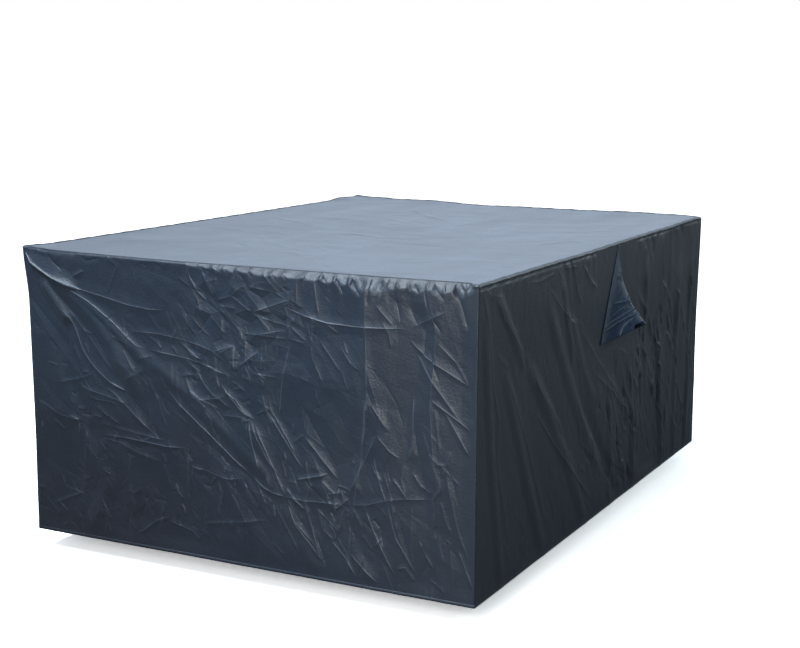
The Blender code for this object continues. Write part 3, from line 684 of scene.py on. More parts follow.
def facets(s_line, d_line, size, stretch, slant, seed):
    """A crumpled sheet, from -1 to 1: flat triangles between scattered points of random height. It is
    given on the grid of s_line by d_line. The triangles are longer along the slant, in degrees. With it
    come their edges, as (end, end, bend): the bend is the change of slope, positive on a ridge."""
    chance = np.random.default_rng(seed)
    turn = math.radians(slant)
    axes = np.array(((math.cos(turn), math.sin(turn)), (-math.sin(turn), math.cos(turn))))
    axes[0] /= stretch
    ends = np.array([(s, d) for s in (s_line[0], s_line[-1]) for d in (d_line[0], d_line[-1])]) @ axes.T
    low, high = ends.min(axis=0) - 2 * size, ends.max(axis=0) + 2 * size
    columns, rows = ((high - low) / (size, FACET_ROWS * size)).astype(int) + 1
    column, row = np.meshgrid(np.arange(columns), np.arange(rows))
    spots = np.stack([low[0] + (column + 0.5 * (row % 2)) * size, low[1] + row * FACET_ROWS * size], axis=-1)
    spots = spots.reshape(-1, 2) + chance.uniform(-FACET_STRAY, FACET_STRAY, (spots.size // 2, 2)) * size
    heights = chance.uniform(-1.0, 1.0, len(spots))
    flat, _, triangles, source, _, _ = delaunay_2d_cdt([Vector(spot) for spot in spots], [], [], 0, 1e-7)
    heights = heights[[origin[0] for origin in source]]
    flat = np.array([tuple(spot) for spot in flat]) @ np.linalg.inv(axes).T
    field = np.zeros((len(d_line), len(s_line)))
    for triangle in triangles:
        corner, level = flat[list(triangle)], heights[list(triangle)]
        first_s, last_s = np.searchsorted(s_line, (corner[:, 0].min(), corner[:, 0].max()))
        first_d, last_d = np.searchsorted(d_line, (corner[:, 1].min(), corner[:, 1].max()))
        if first_s == last_s or first_d == last_d:
            continue
        edges = (corner[1:] - corner[0]).T
        off_s = s_line[first_s:last_s][None, :] - corner[0, 0]
        off_d = d_line[first_d:last_d][:, None] - corner[0, 1]
        area = edges[0, 0] * edges[1, 1] - edges[0, 1] * edges[1, 0]
        if abs(area) < 1e-9:
            continue
        first = (off_s * edges[1, 1] - off_d * edges[0, 1]) / area
        second = (off_d * edges[0, 0] - off_s * edges[1, 0]) / area
        inside = (first >= 0.0) & (second >= 0.0) & (first + second <= 1.0)
        height = level[0] + first * (level[1] - level[0]) + second * (level[2] - level[0])
        block = field[first_d:last_d, first_s:last_s]
        block[inside] = height[inside]
    beside = {}
    for triangle in triangles:
        for turned in range(3):
            one, other, third = np.roll(triangle, turned)
            beside.setdefault((min(one, other), max(one, other)), []).append(third)
    edges = []
    for (one, other), thirds in beside.items():
        known = [one, other, thirds[0]]
        plane = np.column_stack([flat[known], np.ones(3)])
        if len(thirds) < 2 or abs(np.linalg.det(plane)) <= 1e-7:
            continue
        expected = np.append(flat[thirds[1]], 1.0) @ np.linalg.solve(plane, heights[known])
        run, off = flat[other] - flat[one], flat[thirds[1]] - flat[one]
        away = abs(off[0] * run[1] - off[1] * run[0]) / np.hypot(*run)
        edges.append((flat[one], flat[other], (expected - heights[thirds[1]]) / max(away, 0.2 * size)))
    return field, edges


def crumple_rise(s_line, d_line, crumples, seed):
    """Sum of the patches of facets, each fading out from its middle, and creases along their sharper
    edges."""
    total, creases = np.zeros((len(d_line), len(s_line))), []
    for number, (s_at, d_at, reach_s, reach_d, size, stretch, slant, rise) in enumerate(crumples):

        def share(s, depth):
            far = ((s - s_at) / reach_s) ** 2 + ((depth - d_at) / reach_d) ** 2
            return smooth(1.4 * (1.0 - far))

        field, edges = facets(s_line, d_line, size, stretch, slant, seed + number)
        total += rise * share(s_line[None, :], d_line[:, None]) * field
        for one, other, bend in edges if size > DRAWN_FACETS else ():
            slope = rise * bend * share(*((one + other) / 2))
            if abs(slope) > LEAST_BEND:
                high = 1000 * EDGE_PINCH * np.clip(slope, -MOST_BEND, MOST_BEND) * PINCH_WIDTH / PINCH
                creases.append((high, 0.01, 0.01, *(1000 * one), *(1000 * other)))
    return total, creases


def pucker_rise(s, depth, stretches, seed):
    """Narrow notches that run down from the top seam, at uneven spacing, with rounded cloth between."""
    chance = np.random.default_rng(seed)
    total = np.zeros(s.shape)
    for first, last, spacing, reach, rise in stretches:
        middle = first + spacing * chance.uniform(0.2, 0.8)
        while middle < last:
            width = spacing * chance.uniform(0.18, 0.34)
            lean = chance.uniform(-0.35, 0.45)
            long = reach * chance.uniform(0.5, 1.5)
            high = rise * chance.uniform(0.4, 1.2)
            off = (s - middle - lean * depth) / (width * (1.0 + 1.6 * depth / long))
            beside = 0.45 * np.exp(-((off - 1.9) ** 2)) + 0.45 * np.exp(-((off + 1.9) ** 2))
            notch = beside - np.exp(-np.abs(off) ** 1.4)
            total += high * notch * smooth((depth - 0.004) / 0.014) * np.exp(-((depth / long) ** 1.5))
            middle += spacing * chance.uniform(0.6, 1.5)
    return total


def pleat_rise(s_line, d_line):
    """Flat faces between the bends of the pleats, which fade towards the seam and the hem."""
    bends = np.array([np.interp(d_line, PLEAT_DEPTHS, line) for line in np.array(PLEAT_BENDS).T]).T
    rise = np.array([np.interp(s_line, line, PLEAT_RISES) for line in bends])
    return rise * (smooth(d_line / 0.05) * (1.0 - 0.5 * smooth((d_line - 0.5) / 0.35)))[:, None]


def top_level(x, y):
    """Height of the top's outer face without its wrinkles: its sag, its sagging edges and their bumps."""
    bow_u = np.maximum(1.0 - (2.0 * x / WIDTH) ** 2, 0.0)
    bow_v = np.maximum(1.0 - (2.0 * y / DEPTH) ** 2, 0.0)
    level = EDGE_Z - EDGE_SAG * bow_u - LONG_SAG * bow_v - (TOP_SAG - EDGE_SAG - LONG_SAG) * bow_u * bow_v
    for x_at, y_at, reach, rise in EDGE_BUMPS:
        level = level + rise * np.exp(-((np.hypot(x - x_at, y - y_at) / reach) ** 2))
    return level


def corner_offset(number, depth):
    """(x, y) of a corner seam off its upright line, at each depth."""
    posts = np.array(CORNERS[number % 4][1])
    at, offset = posts[:, 0], posts[:, 1:]
    place = np.clip(np.searchsorted(at, depth, side="right") - 1, 0, len(at) - 2)
    share = smooth((depth - at[place]) / (at[place + 1] - at[place]))
    return offset[place] + share[..., None] * (offset[place + 1] - offset[place])


def edge_line(number, s, length):
    """(plan point, outward normal) along wall number, whose ends turn an eighth of a circle into the
    corners."""
    start, end = np.array(CORNERS[number][0]), np.array(CORNERS[(number + 1) % 4][0])
    along = (end - start) / length
    outward = np.array((along[1], -along[0]))
    to_start, to_end = (np.clip(1.0 - off / CORNER_ROUND, 0, 1) for off in (s, length - s))
    turn = math.pi / 4 * (to_start - to_end)
    shift = CORNER_ROUND * (np.sign(turn) - np.sin(turn))
    base = np.where(turn > 0, 0.0, np.where(turn < 0, length, s))
    place = start + (base + shift)[..., None] * along
    place = place - (CORNER_ROUND * (1.0 - np.cos(turn)))[..., None] * outward
    normal = np.cos(turn)[..., None] * outward - np.sin(turn)[..., None] * along
    return place, normal


def wall_lines(length, columns, rows, rolled):
    """(s of the columns, depth of the rows): rows lie close where the wall rolls over the edge, down to the
    depth called rolled, and at the hem, which has 14 of them."""
    near_corner = np.linspace(0, CORNER_ROUND, 5)
    between = np.linspace(CORNER_ROUND, length - CORNER_ROUND, columns)
    s_line = np.concatenate([near_corner[:-1], between, length - near_corner[-2::-1]])
    hem = HEIGHT - HEM_BAND
    over = np.linspace(0.0, 1.0, 7 if rolled < 0.01 else 16) ** 2 * rolled
    down = rolled + (hem - 0.004 - rolled) * np.linspace(0.0, 1.0, rows)[1:] ** 1.06
    return s_line, np.concatenate([over, down, np.linspace(hem - 0.003, HEIGHT, 14)])


def off_corners(s_line, length):
    """0 at both ends of a wall, and 1 from 36 mm off them."""
    return smooth((np.minimum(s_line, length - s_line) - 0.006) / 0.03)


def roll_share(s_line, length):
    """How much wider the front wall's roll is: least at its ends, and most from two thirds of the way on."""
    return off_corners(s_line, length) * (0.08 + 0.92 * smooth((s_line - 0.45) / 0.55))


def hang_over(s_line):
    """How far the front wall's roll reaches down: an arch from each notch to the next, as a flattened half
    wave, which is lowest in between."""
    notches, drops = np.array(FRONT_SCALLOPS).T
    place = np.clip(np.searchsorted(notches, s_line, side="right") - 1, 0, len(notches) - 2)
    t = np.clip((s_line - notches[place]) / (notches[place + 1] - notches[place]), 0.0, 1.0)
    arch = np.sin(math.pi * t) ** 0.5
    return SIDE_ROLL + (drops[place] - SIDE_ROLL) * (0.55 + 0.45 * arch)


# (inset in turns of the hem, depth past the hem's edge) of the rows that go round the hem and up behind it.
HEM_ROWS = np.array(((0.6, 0.00055), (1.6, 0.00055), (2.0, -0.001), (2.0, -0.006), (2.0, -0.012)))


def sewn_wall(number, length, columns, rows, front_roll, rise_of):
    """Points (rows, columns, 3) and flat places (rows, columns, 2) of a wall, with the fields of its creases.
    rise_of(s, depth, s_line, d_line) gives how far the cloth stands off its plane, and the fields. Where
    the wall rolls over the edge, its inset falls as a power of the share of the roll's depth that is left."""
    gathered = front_roll > SIDE_ROLL
    s_line, d_line = wall_lines(length, columns, rows, GATHERED_DEPTH if gathered else SIDE_ROLL)
    near_end = np.minimum(s_line, length - s_line)
    roll = SIDE_ROLL + (front_roll - SIDE_ROLL) * roll_share(s_line, length)
    drop = hang_over(s_line) if gathered else roll
    place, normal = edge_line(number, s_line, length)
    level = top_level(place[:, 0], place[:, 1])
    s, depth = np.meshgrid(s_line, d_line)
    rise, fields = rise_of(s, depth, s_line, d_line)
    rise = rise * smooth(near_end / SEAM_CALM)[None, :]
    # The hem is stitched, so it hangs nearly straight. Its band is rolled to half a round, which is fullest
    # on the front wall, from its left end on.
    rise = rise * (HEM_CREASED + (1 - HEM_CREASED) * smooth((HEIGHT - depth - 0.5 * HEM_BAND) / HEM_CALM))
    fullness = 0.3 + 0.7 * smooth((s - 0.10) / 0.50) * gathered
    off_middle = (depth - HEIGHT + HEM_BAND / 2) / (HEM_BAND / 2)
    rise = rise + HEM_ROLL * fullness * np.sqrt(np.clip(1.0 - off_middle**2, 0.0, 1.0))
    left = np.clip(1.0 - depth / drop, 0.0, 1.0)
    inset = roll * np.where(gathered, left**GATHERED_POWER, 1.0 - np.sqrt(1.0 - left**2))
    # The hem's rows behind repeat its last row.
    again = np.concatenate([np.arange(len(d_line)), np.full(len(HEM_ROWS), len(d_line) - 1)])
    depth = np.concatenate([d_line, HEIGHT + HEM_ROWS[:, 1]])[:, None] + 0 * s_line
    rise, inset, tilt = rise[again], inset[again], left[again]
    inset[len(d_line) :] += HEM_TURN * HEM_ROWS[:, :1]
    out = np.sqrt(1.0 - tilt**2)
    share = (s_line / length)[None, :, None]
    hung = np.minimum(depth, HEIGHT)
    start, end = corner_offset(number, hung), corner_offset(number + 1, hung)
    plan = place[None] + (1.0 - share) * start + share * end
    plan = plan + (out * rise - inset)[..., None] * normal[None]
    z = level[None] - depth / HEIGHT * (level[None] - HEM_Z) + tilt * rise
    points = np.concatenate([plan, z[..., None]], axis=-1)
    flat = np.stack([s[again], np.minimum(depth, 2 * HEIGHT - depth)], axis=-1)
    return points, flat, {name: values[again] for name, values in fields.items()}


def add_sheet(name, points, flat, material, keep=None, fields=None):
    """A sheet of square faces over a grid of points, with its flat places in metres as the UV map. keep
    says which faces are there, and fields are values for the material to read at each point."""
    rows, columns = points.shape[:2]
    index = np.arange(rows * columns).reshape(rows, columns)
    faces = np.stack([index[1:, :-1], index[1:, 1:], index[:-1, 1:], index[:-1, :-1]], axis=-1)
    faces = faces[keep] if keep is not None else faces.reshape(-1, 4)
    mesh = bpy.data.meshes.new(name)
    mesh.vertices.add(rows * columns)
    mesh.vertices.foreach_set("co", points.reshape(-1).astype(np.float32))
    mesh.loops.add(faces.size)
    mesh.loops.foreach_set("vertex_index", faces.reshape(-1).astype(np.int32))
    mesh.polygons.add(len(faces))
    mesh.polygons.foreach_set("loop_start", np.arange(0, faces.size, 4, dtype=np.int32))
    mesh.update(calc_edges=True)
    layer = mesh.uv_layers.new(name="flat")
    layer.uv.foreach_set("vector", flat.reshape(-1, 2)[faces.reshape(-1)].reshape(-1).astype(np.float32))
    for field, values in (fields or {}).items():
        layer = mesh.attributes.new(field, "FLOAT", "POINT")
        layer.data.foreach_set("value", values.reshape(-1).astype(np.float32))
    mesh.shade_smooth()
    mesh.materials.append(material)
    sheet = bpy.data.objects.new(name, mesh)
    bpy.context.scene.collection.objects.link(sheet)
    return sheet


def coated_cloth(name, colour, stitched=(), rough=0.40, crinkle=0.5, crease_highlight_colour=CREASE_HIGHLIGHT_COLOUR):
    """Coated woven polyester. Its nodes read the flat panel in metres: a fine weave, small crinkles, soft
    changes of tone with painted sheen, painted warm light and painted shade, a painted highlight along
    each crease, and rows of stitches at the depths in stitched."""
    material = bpy.data.materials.new(name)
    material.use_nodes = True
    nodes, links = material.node_tree.nodes, material.node_tree.links
    shader = nodes["Principled BSDF"]
    work, clamp, mix = (functools.partial(kind, nodes, links) for kind in (math_node, clamp_node, mix_node))
    shader.inputs["IOR"].default_value = 1.5
    shader.inputs["Sheen Weight"].default_value = 0.06
    shader.inputs["Sheen Roughness"].default_value = 0.5
    shader.inputs["Sheen Tint"].default_value = (0.75, 0.85, 1.0, 1.0)

    def toned(tone):
        return tuple(share * part for share, part in zip(tone, colour))

    def attribute(name):
        node = nodes.new("ShaderNodeAttribute")
        node.attribute_name = name
        return node.outputs["Fac"]

    def noise(scale, detail, squash=(1.0, 1.0, 1.0), turn=0.0):
        mapping = nodes.new("ShaderNodeMapping")
        mapping.inputs["Scale"].default_value = squash
        mapping.inputs["Rotation"].default_value = (0.0, 0.0, turn)
        links.new(flat, mapping.inputs["Vector"])
        node = nodes.new("ShaderNodeTexNoise")
        node.inputs["Scale"].default_value = scale
        node.inputs["Detail"].default_value = detail
        links.new(mapping.outputs["Vector"], node.inputs["Vector"])
        return node.outputs["Fac"]

    flat = nodes.new("ShaderNodeUVMap")
    flat.uv_map = "flat"
    flat = flat.outputs["UV"]
    apart = nodes.new("ShaderNodeSeparateXYZ")
    links.new(flat, apart.inputs["Vector"])
    s, depth = apart.outputs["X"], apart.outputs["Y"]
    # The tone: soft bands that run down the panel, as a painted sheen, specks, and painted warm light.
    # Where painted shade is set, the cloth is darker and less blue.
    tone = noise(3.2, 3.0, (3.0, 0.7, 1.0))
    bands = work("ADD", work("MULTIPLY_ADD", tone, 2.6, -1.2), attribute("warmth"))
    specks_and_light = work("MULTIPLY_ADD", noise(340.0, 2.0), 0.4, clamp(bands, 0.8))
    painted = mix(specks_and_light, toned(PLAIN_TONE), toned(SPECK_AND_LIGHT_TONE))
    # Painted shade: darker and less blue where its field is set.
    painted = mix(attribute("unfaded"), painted, toned(PAINTED_SHADE_TONE))
    # The weave, threads over and under in both directions, and two sizes of crinkle.
    warp = work("SINE", work("MULTIPLY", s, 2 * math.pi / WEAVE))
    weft = work("SINE", work("MULTIPLY", depth, 2 * math.pi / WEAVE))
    height = work("MULTIPLY", work("MULTIPLY", warp, weft), WEAVE_HEIGHT)
    height = work("MULTIPLY_ADD", noise(30.0, 4.0, (1.0, 0.6, 1.0), 0.4), COARSE_CRINKLE * crinkle, height)
    height = work("MULTIPLY_ADD", noise(150.0, 4.0), FINE_CRINKLE * crinkle, height)
    # The pinched line along each crease: its height falls on both sides as an exponential.
    pinched = 0.0
    for layer in range(LINE_LAYERS):
        across = work("MULTIPLY", attribute(f"crease_offset_{layer}"), 1 / PINCH_WIDTH)
        line = work("EXPONENT", work("MULTIPLY", work("ABSOLUTE", across), -1.0))
        pinched = work("MULTIPLY_ADD", attribute(f"crease_pinch_{layer}"), line, pinched)
    height = work("ADD", height, pinched)
    # The painted highlight: the colour turns pale along each crease, as its ridge would catch the light.
    pale = clamp(work("MULTIPLY", pinched, 1 / CREASE_HIGHLIGHT_PINCH))
    painted = mix(work("MULTIPLY", pale, pale), painted, crease_highlight_colour)
    for stitch_depth in stitched:
        in_row = work("LESS_THAN", work("ABSOLUTE", work("SUBTRACT", depth, stitch_depth)), THREAD / 2)
        on_thread = work("GREATER_THAN", work("SINE", work("MULTIPLY", s, 2 * math.pi / STITCH)), -0.4)
        thread = work("MULTIPLY", in_row, on_thread)
        painted = mix(thread, painted, THREAD_COLOUR)
        height = work("MULTIPLY_ADD", thread, THREAD_HEIGHT, height)
    links.new(painted, shader.inputs["Base Color"])
    links.new(work("MULTIPLY_ADD", tone, 0.10, rough - 0.05), shader.inputs["Roughness"])
    bump = nodes.new("ShaderNodeBump")
    bump.inputs["Distance"].default_value = 1.0
    bump.inputs["Strength"].default_value = 1.0
    links.new(height, bump.inputs["Height"])
    links.new(bump.outputs["Normal"], shader.inputs["Normal"])
    return material


def front_rise(s, depth, s_line, d_line):
    """How far the front wall's cloth stands off its plane, and the fields of its cloth: painted warm light
    towards the right and lower down, and painted shade, darker and less blue, at its lower left."""
    crumpled, edges = crumple_rise(s_line, d_line, FRONT_CRUMPLES, 11)
    creased, fields = crease_rise(s_line, d_line, [*FRONT_CREASES, *scattered(FRONT_SCATTERS, 21), *edges])
    rise = (fold_rise(s, depth, FRONT_FOLDS) + crumpled) * smooth(depth / 0.03)
    rise = rise + creased * smooth((depth - 0.006) / 0.016) + pleat_rise(s_line, d_line)
    # Painted warm light, growing to the right and lower down.
    fields["warmth"] = FRONT_PAINTED_LIGHT * smooth((s - 1.04 - 0.02 * np.sin(9 * depth)) / 0.24)
    fields["warmth"] += LOW_PAINTED_LIGHT * smooth((depth - 0.30) / 0.45)
    # Painted shade at the lower left of the front wall, growing downwards and fading to the right.
    fields["unfaded"] = smooth((depth - 0.25) / 0.50) * (1.0 - smooth((s - 0.35) / 0.75))
    return rise + pucker_rise(s, depth, FRONT_PUCKERS, 5), fields


wall_cloth = coated_cloth("wall_cloth", WALL_COLOUR, stitched=(HEIGHT - HEM_BAND,))
points, flat, fields = sewn_wall(0, WIDTH, 418, 196, FRONT_ROLL, front_rise)
front_wall = add_sheet("front_wall", points, flat, wall_cloth, fields=fields)
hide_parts("front_panel")
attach(front_wall, "root")


# The right wall: the long panel with the air vent. A window is cut in it behind the vent's hood. Long folds
# lean away from the near corner, and beyond the vent the cloth hangs in fine upright wrinkles.
VENT_S = 1.06
HOOD_TOP = 0.035
HOOD_LENGTH = 0.28
HOOD_WIDTH = 0.28
HOOD_MARGIN = 0.06  # the cloth is flat under the hood, and its creases grow to full height over this
WINDOW_WIDTH = 0.10
WINDOW_TOP = 0.20
WINDOW_LENGTH = 0.09
RIGHT_PINCH = 0.5
RIGHT_PAINTED_LIGHT = (-0.45, 0.60)  # painted warm light at the near corner, and how much more at the far one
NEAR_RISE, FAR_RISE = 0.6, 0.55  # height of its creases near the front, and how much more past the vent
SEAM_GROOVE = 0.0014  # where the cloth is sewn in below the top seam

RIGHT_FOLDS = (
    (0.04, 0.02, 0.21, BELOW, 0.020, 0.036, 0.008),
    (0.11, 0.03, 0.34, 0.30, 0.000, 0.028, 0.006),
    (0.15, 0.20, 0.56, BELOW, 0.000, 0.042, 0.009),
    (0.30, 0.22, 0.92, BELOW, -0.030, 0.042, 0.009),
    (0.45, 0.06, 1.00, 0.78, 0.030, 0.044, 0.008),
    (0.58, 0.04, 0.70, 0.36, 0.000, 0.030, 0.006),
    (0.66, 0.16, 0.92, 0.52, 0.020, 0.034, 0.005),
    (0.72, 0.40, 1.26, BELOW, 0.000, 0.046, -0.007),
    (1.02, 0.40, 1.06, BELOW, 0.000, 0.034, 0.006),
    (1.20, 0.38, 1.30, BELOW, -0.010, 0.036, 0.007),
    (1.36, 0.06, 1.42, 0.60, 0.010, 0.036, 0.005),
    (1.52, 0.30, 1.62, BELOW, 0.000, 0.040, 0.008),
    (1.74, 0.10, 1.76, BELOW, 0.010, 0.040, 0.007),
    (1.90, 0.04, 1.88, BELOW, 0.000, 0.030, 0.006),
    (0.30, 0.10, 0.42, BELOW, 0.000, 0.240, -0.008),
    (1.45, 0.20, 1.50, BELOW, 0.000, 0.220, -0.006),
)

RIGHT_CREASES = (
    (4, 22, 18, 26, 16, 56, 95, 82, 184, 109, 320),
    (4, 24, 16, 87, 239, 142, 391, 138, 509, 235, 800),
    (3.5, 20, 20, 111, 44, 159, 111, 336, 254),
    (2.4, 16, 16, 128, 207, 207, 258),
    (6, 40, 22, 178, 256, 259, 366, 348, 502, 479, 751, 552, 810),
    (1.2, 18, 22, 31, 12, 76, 37, 151, 52, 168, 40),
    (3.5, 30, 26, 483, 73, 613, 165, 735, 232),
    (1.6, 12, 14, 637, 194, 733, 211, 780, 234),
    (5, 40, 30, 734, 227, 1153, 538),
    (4, 40, 30, 597, 136, 646, 229, 743, 344, 790, 463),
    (4.5, 18, 24, 749, 30, 815, 90, 905, 135),
    (4, 16, 20, 935, 24, 1034, 112),
    (2.6, 18, 18, 694, 80, 719, 126, 759, 159),
    (2, 10, 10, 338, 38, 415, 43, 528, 33),
    (2.2, 10, 10, 597, 26, 705, 34),
    (2.2, 12, 12, 548, 24, 578, 59),
    (2.6, 12, 14, 997, 350, 1082, 347, 1191, 389),
    (2.6, 14, 14, 1261, 360, 1298, 446, 1415, 563),
    (5, 24, 24, 1316, 353, 1401, 434, 1492, 546, 1541, 618),
    (4, 30, 26, 1259, 177, 1382, 274, 1631, 507),
    (3, 20, 16, 1539, 183, 1641, 261, 1695, 347),
    (3, 20, 16, 1700, 224, 1802, 337, 1895, 487),
    (3, 18, 16, 1628, 324, 1729, 445, 1791, 577),
    (2.4, 14, 14, 1337, 42, 1360, 81),
    (2.4, 14, 14, 1140, 62, 1181, 114),
    (6.5, 50, 16, 406, 423, 588, 586, 849, 789, 897, 832),
    (3.5, 24, 20, 383, 307, 454, 387, 545, 459, 640, 550),
    (5, 34, 24, 856, 383, 1051, 486, 1192, 576, 1288, 723),
    (4.5, 26, 18, 705, 421, 779, 525, 1001, 731),
    (3.5, 24, 18, 734, 500, 776, 603, 967, 724),
    (4, 24, 12, 1033, 713, 1196, 801),
    (3, 16, 12, 1017, 584, 1066, 648, 1182, 706),
    (3.5, 20, 16, 1160, 485, 1244, 595, 1308, 760),
    (3.5, 18, 16, 1417, 488, 1511, 603, 1661, 811),
    (3, 16, 14, 1278, 524, 1361, 636, 1423, 755),
    (3, 16, 14, 1632, 578, 1770, 811),
    (3, 14, 14, 1763, 553, 1806, 663, 1884, 776),
    (3, 14, 12, 1053, 509, 1106, 612, 1124, 685),
    (2.6, 12, 12, 505, 669, 548, 736, 573, 806),
    (2.4, 10, 10, 640, 818, 666, 870),
    (2.4, 10, 10, 813, 787, 874, 842),
    (2.6, 12, 10, 989, 743, 1066, 832),
    (2.6, 12, 10, 1210, 760, 1268, 830),
    (2.4, 12, 12, 327, 802, 376, 861),
    (2.2, 12, 12, 137, 712, 207, 772, 233, 832),
    (2, 10, 10, 230, 477, 274, 530),
    (2, 10, 10, 209, 639, 240, 628),
)

RIGHT_CRUMPLES = (
    (1.00, 0.44, 1.60, 0.90, 0.150, 2.6, 66, 0.0030),
    (1.55, 0.50, 0.62, 0.60, 0.055, 3.4, 84, 0.0032),
    (0.50, 0.50, 0.60, 0.60, 0.070, 3.0, 58, 0.0016),
    (1.15, 0.60, 0.40, 0.36, 0.050, 3.0, 78, 0.0028),
    (1.00, 0.50, 1.60, 0.70, 0.034, 2.2, 75, 0.0005),
)

RIGHT_SCATTERS = (
    (90, 1.60, 0.56, 0.44, 0.46, 0.100, 80, 12, 0.0046, 0.014),
    (60, 1.15, 0.64, 0.46, 0.26, 0.090, 70, 15, 0.0040, 0.016),
    (30, 0.50, 0.60, 0.50, 0.40, 0.080, 62, 18, 0.0024, 0.014),
)

RIGHT_PUCKERS = (
    (0.04, 0.40, 0.050, 0.050, 0.0016),
    (0.55, 0.98, 0.042, 0.090, 0.0030),
    (1.16, 1.96, 0.050, 0.090, 0.0022),
)


def lines_at(fields, share):
    """The fields of some creases, with their pinched lines at a share of their height, or at a multiple."""
    return {name: values * (share if "pinch" in name else 1.0) for name, values in fields.items()}


def right_rise(s, depth, s_line, d_line):
    """How far the right wall's cloth stands off its plane, which is flat under the hood, and its fields."""
    crumpled, edges = crumple_rise(s_line, d_line, RIGHT_CRUMPLES, 31)
    creased, fields = crease_rise(s_line, d_line, [*RIGHT_CREASES, *scattered(RIGHT_SCATTERS, 22), *edges])
    fields = lines_at(fields, RIGHT_PINCH)
    # Painted warm light: taken off at the near corner, growing towards the far one.
    fields["warmth"] = RIGHT_PAINTED_LIGHT[0] + RIGHT_PAINTED_LIGHT[1] * smooth(s / 1.8)
    rise = (fold_rise(s, depth, RIGHT_FOLDS) + creased + crumpled) * smooth(depth / 0.035)
    rise = rise * (NEAR_RISE + FAR_RISE * smooth((s - 0.8) / 0.5)) + pucker_rise(s, depth, RIGHT_PUCKERS, 6)
    rise = rise - SEAM_GROOVE * np.exp(-(((depth - 0.012) / 0.004) ** 2))
    aside = np.abs(s - VENT_S) - (HOOD_WIDTH / 2 + 0.02)
    below = depth - (HOOD_TOP + HOOD_LENGTH + 0.03)
    return rise * smooth(np.maximum(aside, below) / HOOD_MARGIN), fields


points, flat, fields = sewn_wall(1, DEPTH, 400, 175, SIDE_ROLL, right_rise)
middle = (flat[1:, 1:] + flat[:-1, :-1]) / 2
in_window = (np.abs(middle[..., 0] - VENT_S) < WINDOW_WIDTH / 2) & (
    np.abs(middle[..., 1] - WINDOW_TOP - WINDOW_LENGTH / 2) < WINDOW_LENGTH / 2
)
right_wall = add_sheet("right_wall", points, flat, wall_cloth, ~in_window, fields)
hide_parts("right_panel")
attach(right_wall, "root")


# The back and left walls: the two panels that the camera doesn't see, cut, gathered and hemmed like the
# others, with fewer creases.
BACK_FOLDS = (
    (0.03, 0.04, 0.40, 0.34, -0.020, 0.045, 0.008),
    (0.26, 0.20, 0.34, BELOW, 0.010, 0.050, 0.007),
    (0.62, 0.10, 0.55, BELOW, 0.000, 0.055, 0.007),
    (0.10, 0.36, 1.40, 0.38, 0.010, 0.034, 0.004),
    (0.88, 0.04, 0.96, 0.80, 0.010, 0.050, -0.006),
    (1.20, 0.08, 1.16, BELOW, 0.000, 0.050, 0.008),
    (1.47, 0.04, 1.10, 0.36, 0.020, 0.045, 0.007),
)

LEFT_FOLDS = (
    (0.04, 0.05, 0.42, 0.42, -0.020, 0.050, 0.008),
    (0.34, 0.16, 0.42, BELOW, 0.000, 0.055, 0.007),
    (0.74, 0.08, 0.66, BELOW, 0.010, 0.060, 0.007),
    (0.10, 0.40, 1.90, 0.42, -0.010, 0.036, 0.004),
    (1.02, 0.06, 1.10, BELOW, 0.000, 0.060, -0.007),
    (1.40, 0.10, 1.36, BELOW, 0.010, 0.055, 0.008),
    (1.70, 0.12, 1.74, BELOW, 0.000, 0.050, 0.006),
    (1.97, 0.05, 1.62, 0.40, 0.020, 0.045, 0.008),
)

HIDDEN_CRUMPLES = (
    (0.90, 0.44, 1.60, 0.90, 0.120, 1.9, 60, 0.0032),
    (0.60, 0.35, 0.60, 0.40, 0.055, 1.8, 50, 0.0026),
    (1.40, 0.55, 0.60, 0.40, 0.055, 2.2, 100, 0.0026),
)

HIDDEN_SCATTERS = (
    (120, 0.75, 0.40, 1.20, 0.60, 0.080, 60, 35, 0.0034, 0.012),
    (120, 1.40, 0.40, 0.90, 0.60, 0.080, 110, 30, 0.0034, 0.012),
    (12, 0.12, 0.16, 0.16, 0.20, 0.220, 50, 10, 0.0060, 0.030),
    (12, 1.30, 0.20, 0.50, 0.20, 0.180, 125, 14, 0.0050, 0.026),
)

for number, name, node, length, folds in (
    (2, "back_wall", "back_panel", WIDTH, BACK_FOLDS),
    (3, "left_wall", "left_panel", DEPTH, LEFT_FOLDS),
):

    def hidden_rise(s, depth, s_line, d_line, number=number, folds=folds, length=length):
        """How far this wall's cloth stands off its plane, and its fields."""
        crumpled, edges = crumple_rise(s_line, d_line, HIDDEN_CRUMPLES, 50 + 10 * number)
        creased, fields = crease_rise(s_line, d_line, [*scattered(HIDDEN_SCATTERS, 80 + number), *edges])
        rise = (fold_rise(s, depth, folds) + crumpled + creased) * smooth(depth / 0.03)
        puckers = ((0.03, length - 0.03, 0.045, 0.060, 0.0028),)
        return rise + pucker_rise(s, depth, puckers, 70 + number), fields

    points, flat, fields = sewn_wall(number, length, 330, 160, SIDE_ROLL, hidden_rise)
    wall = add_sheet(name, points, flat, wall_cloth, fields=fields)
    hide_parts(node)
    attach(wall, "root")


# The top: one panel of the same cloth, sewn to the four walls and stretched by them. It sags a little
# between the edges, and fine wrinkles cross it where the seams pull.
# The top's cloth, and the seam's, is painted lighter than the walls', for the light that falls on the top.
TOP_LIT_COLOUR = (0.030, 0.042, 0.060)
TOP_LAP = 0.002  # how far the top's edge lies over a wall's roll
TOP_TURN = 0.0008  # how far the edge turns down over the last 10 mm

# Soft humps in the top, or hollows where rise is negative: (x, y, reach along x, reach along y, rise).
TOP_DENTS = (
    (-0.02, 0.17, 0.16, 0.10, 0.003),
    (-0.40, 0.33, 0.12, 0.22, 0.003),
    (-0.58, -0.67, 0.14, 0.10, 0.003),
    (0.30, -0.40, 0.22, 0.26, -0.003),
    (0.40, 0.62, 0.18, 0.24, -0.003),
    (-0.35, -0.25, 0.20, 0.20, -0.003),
)

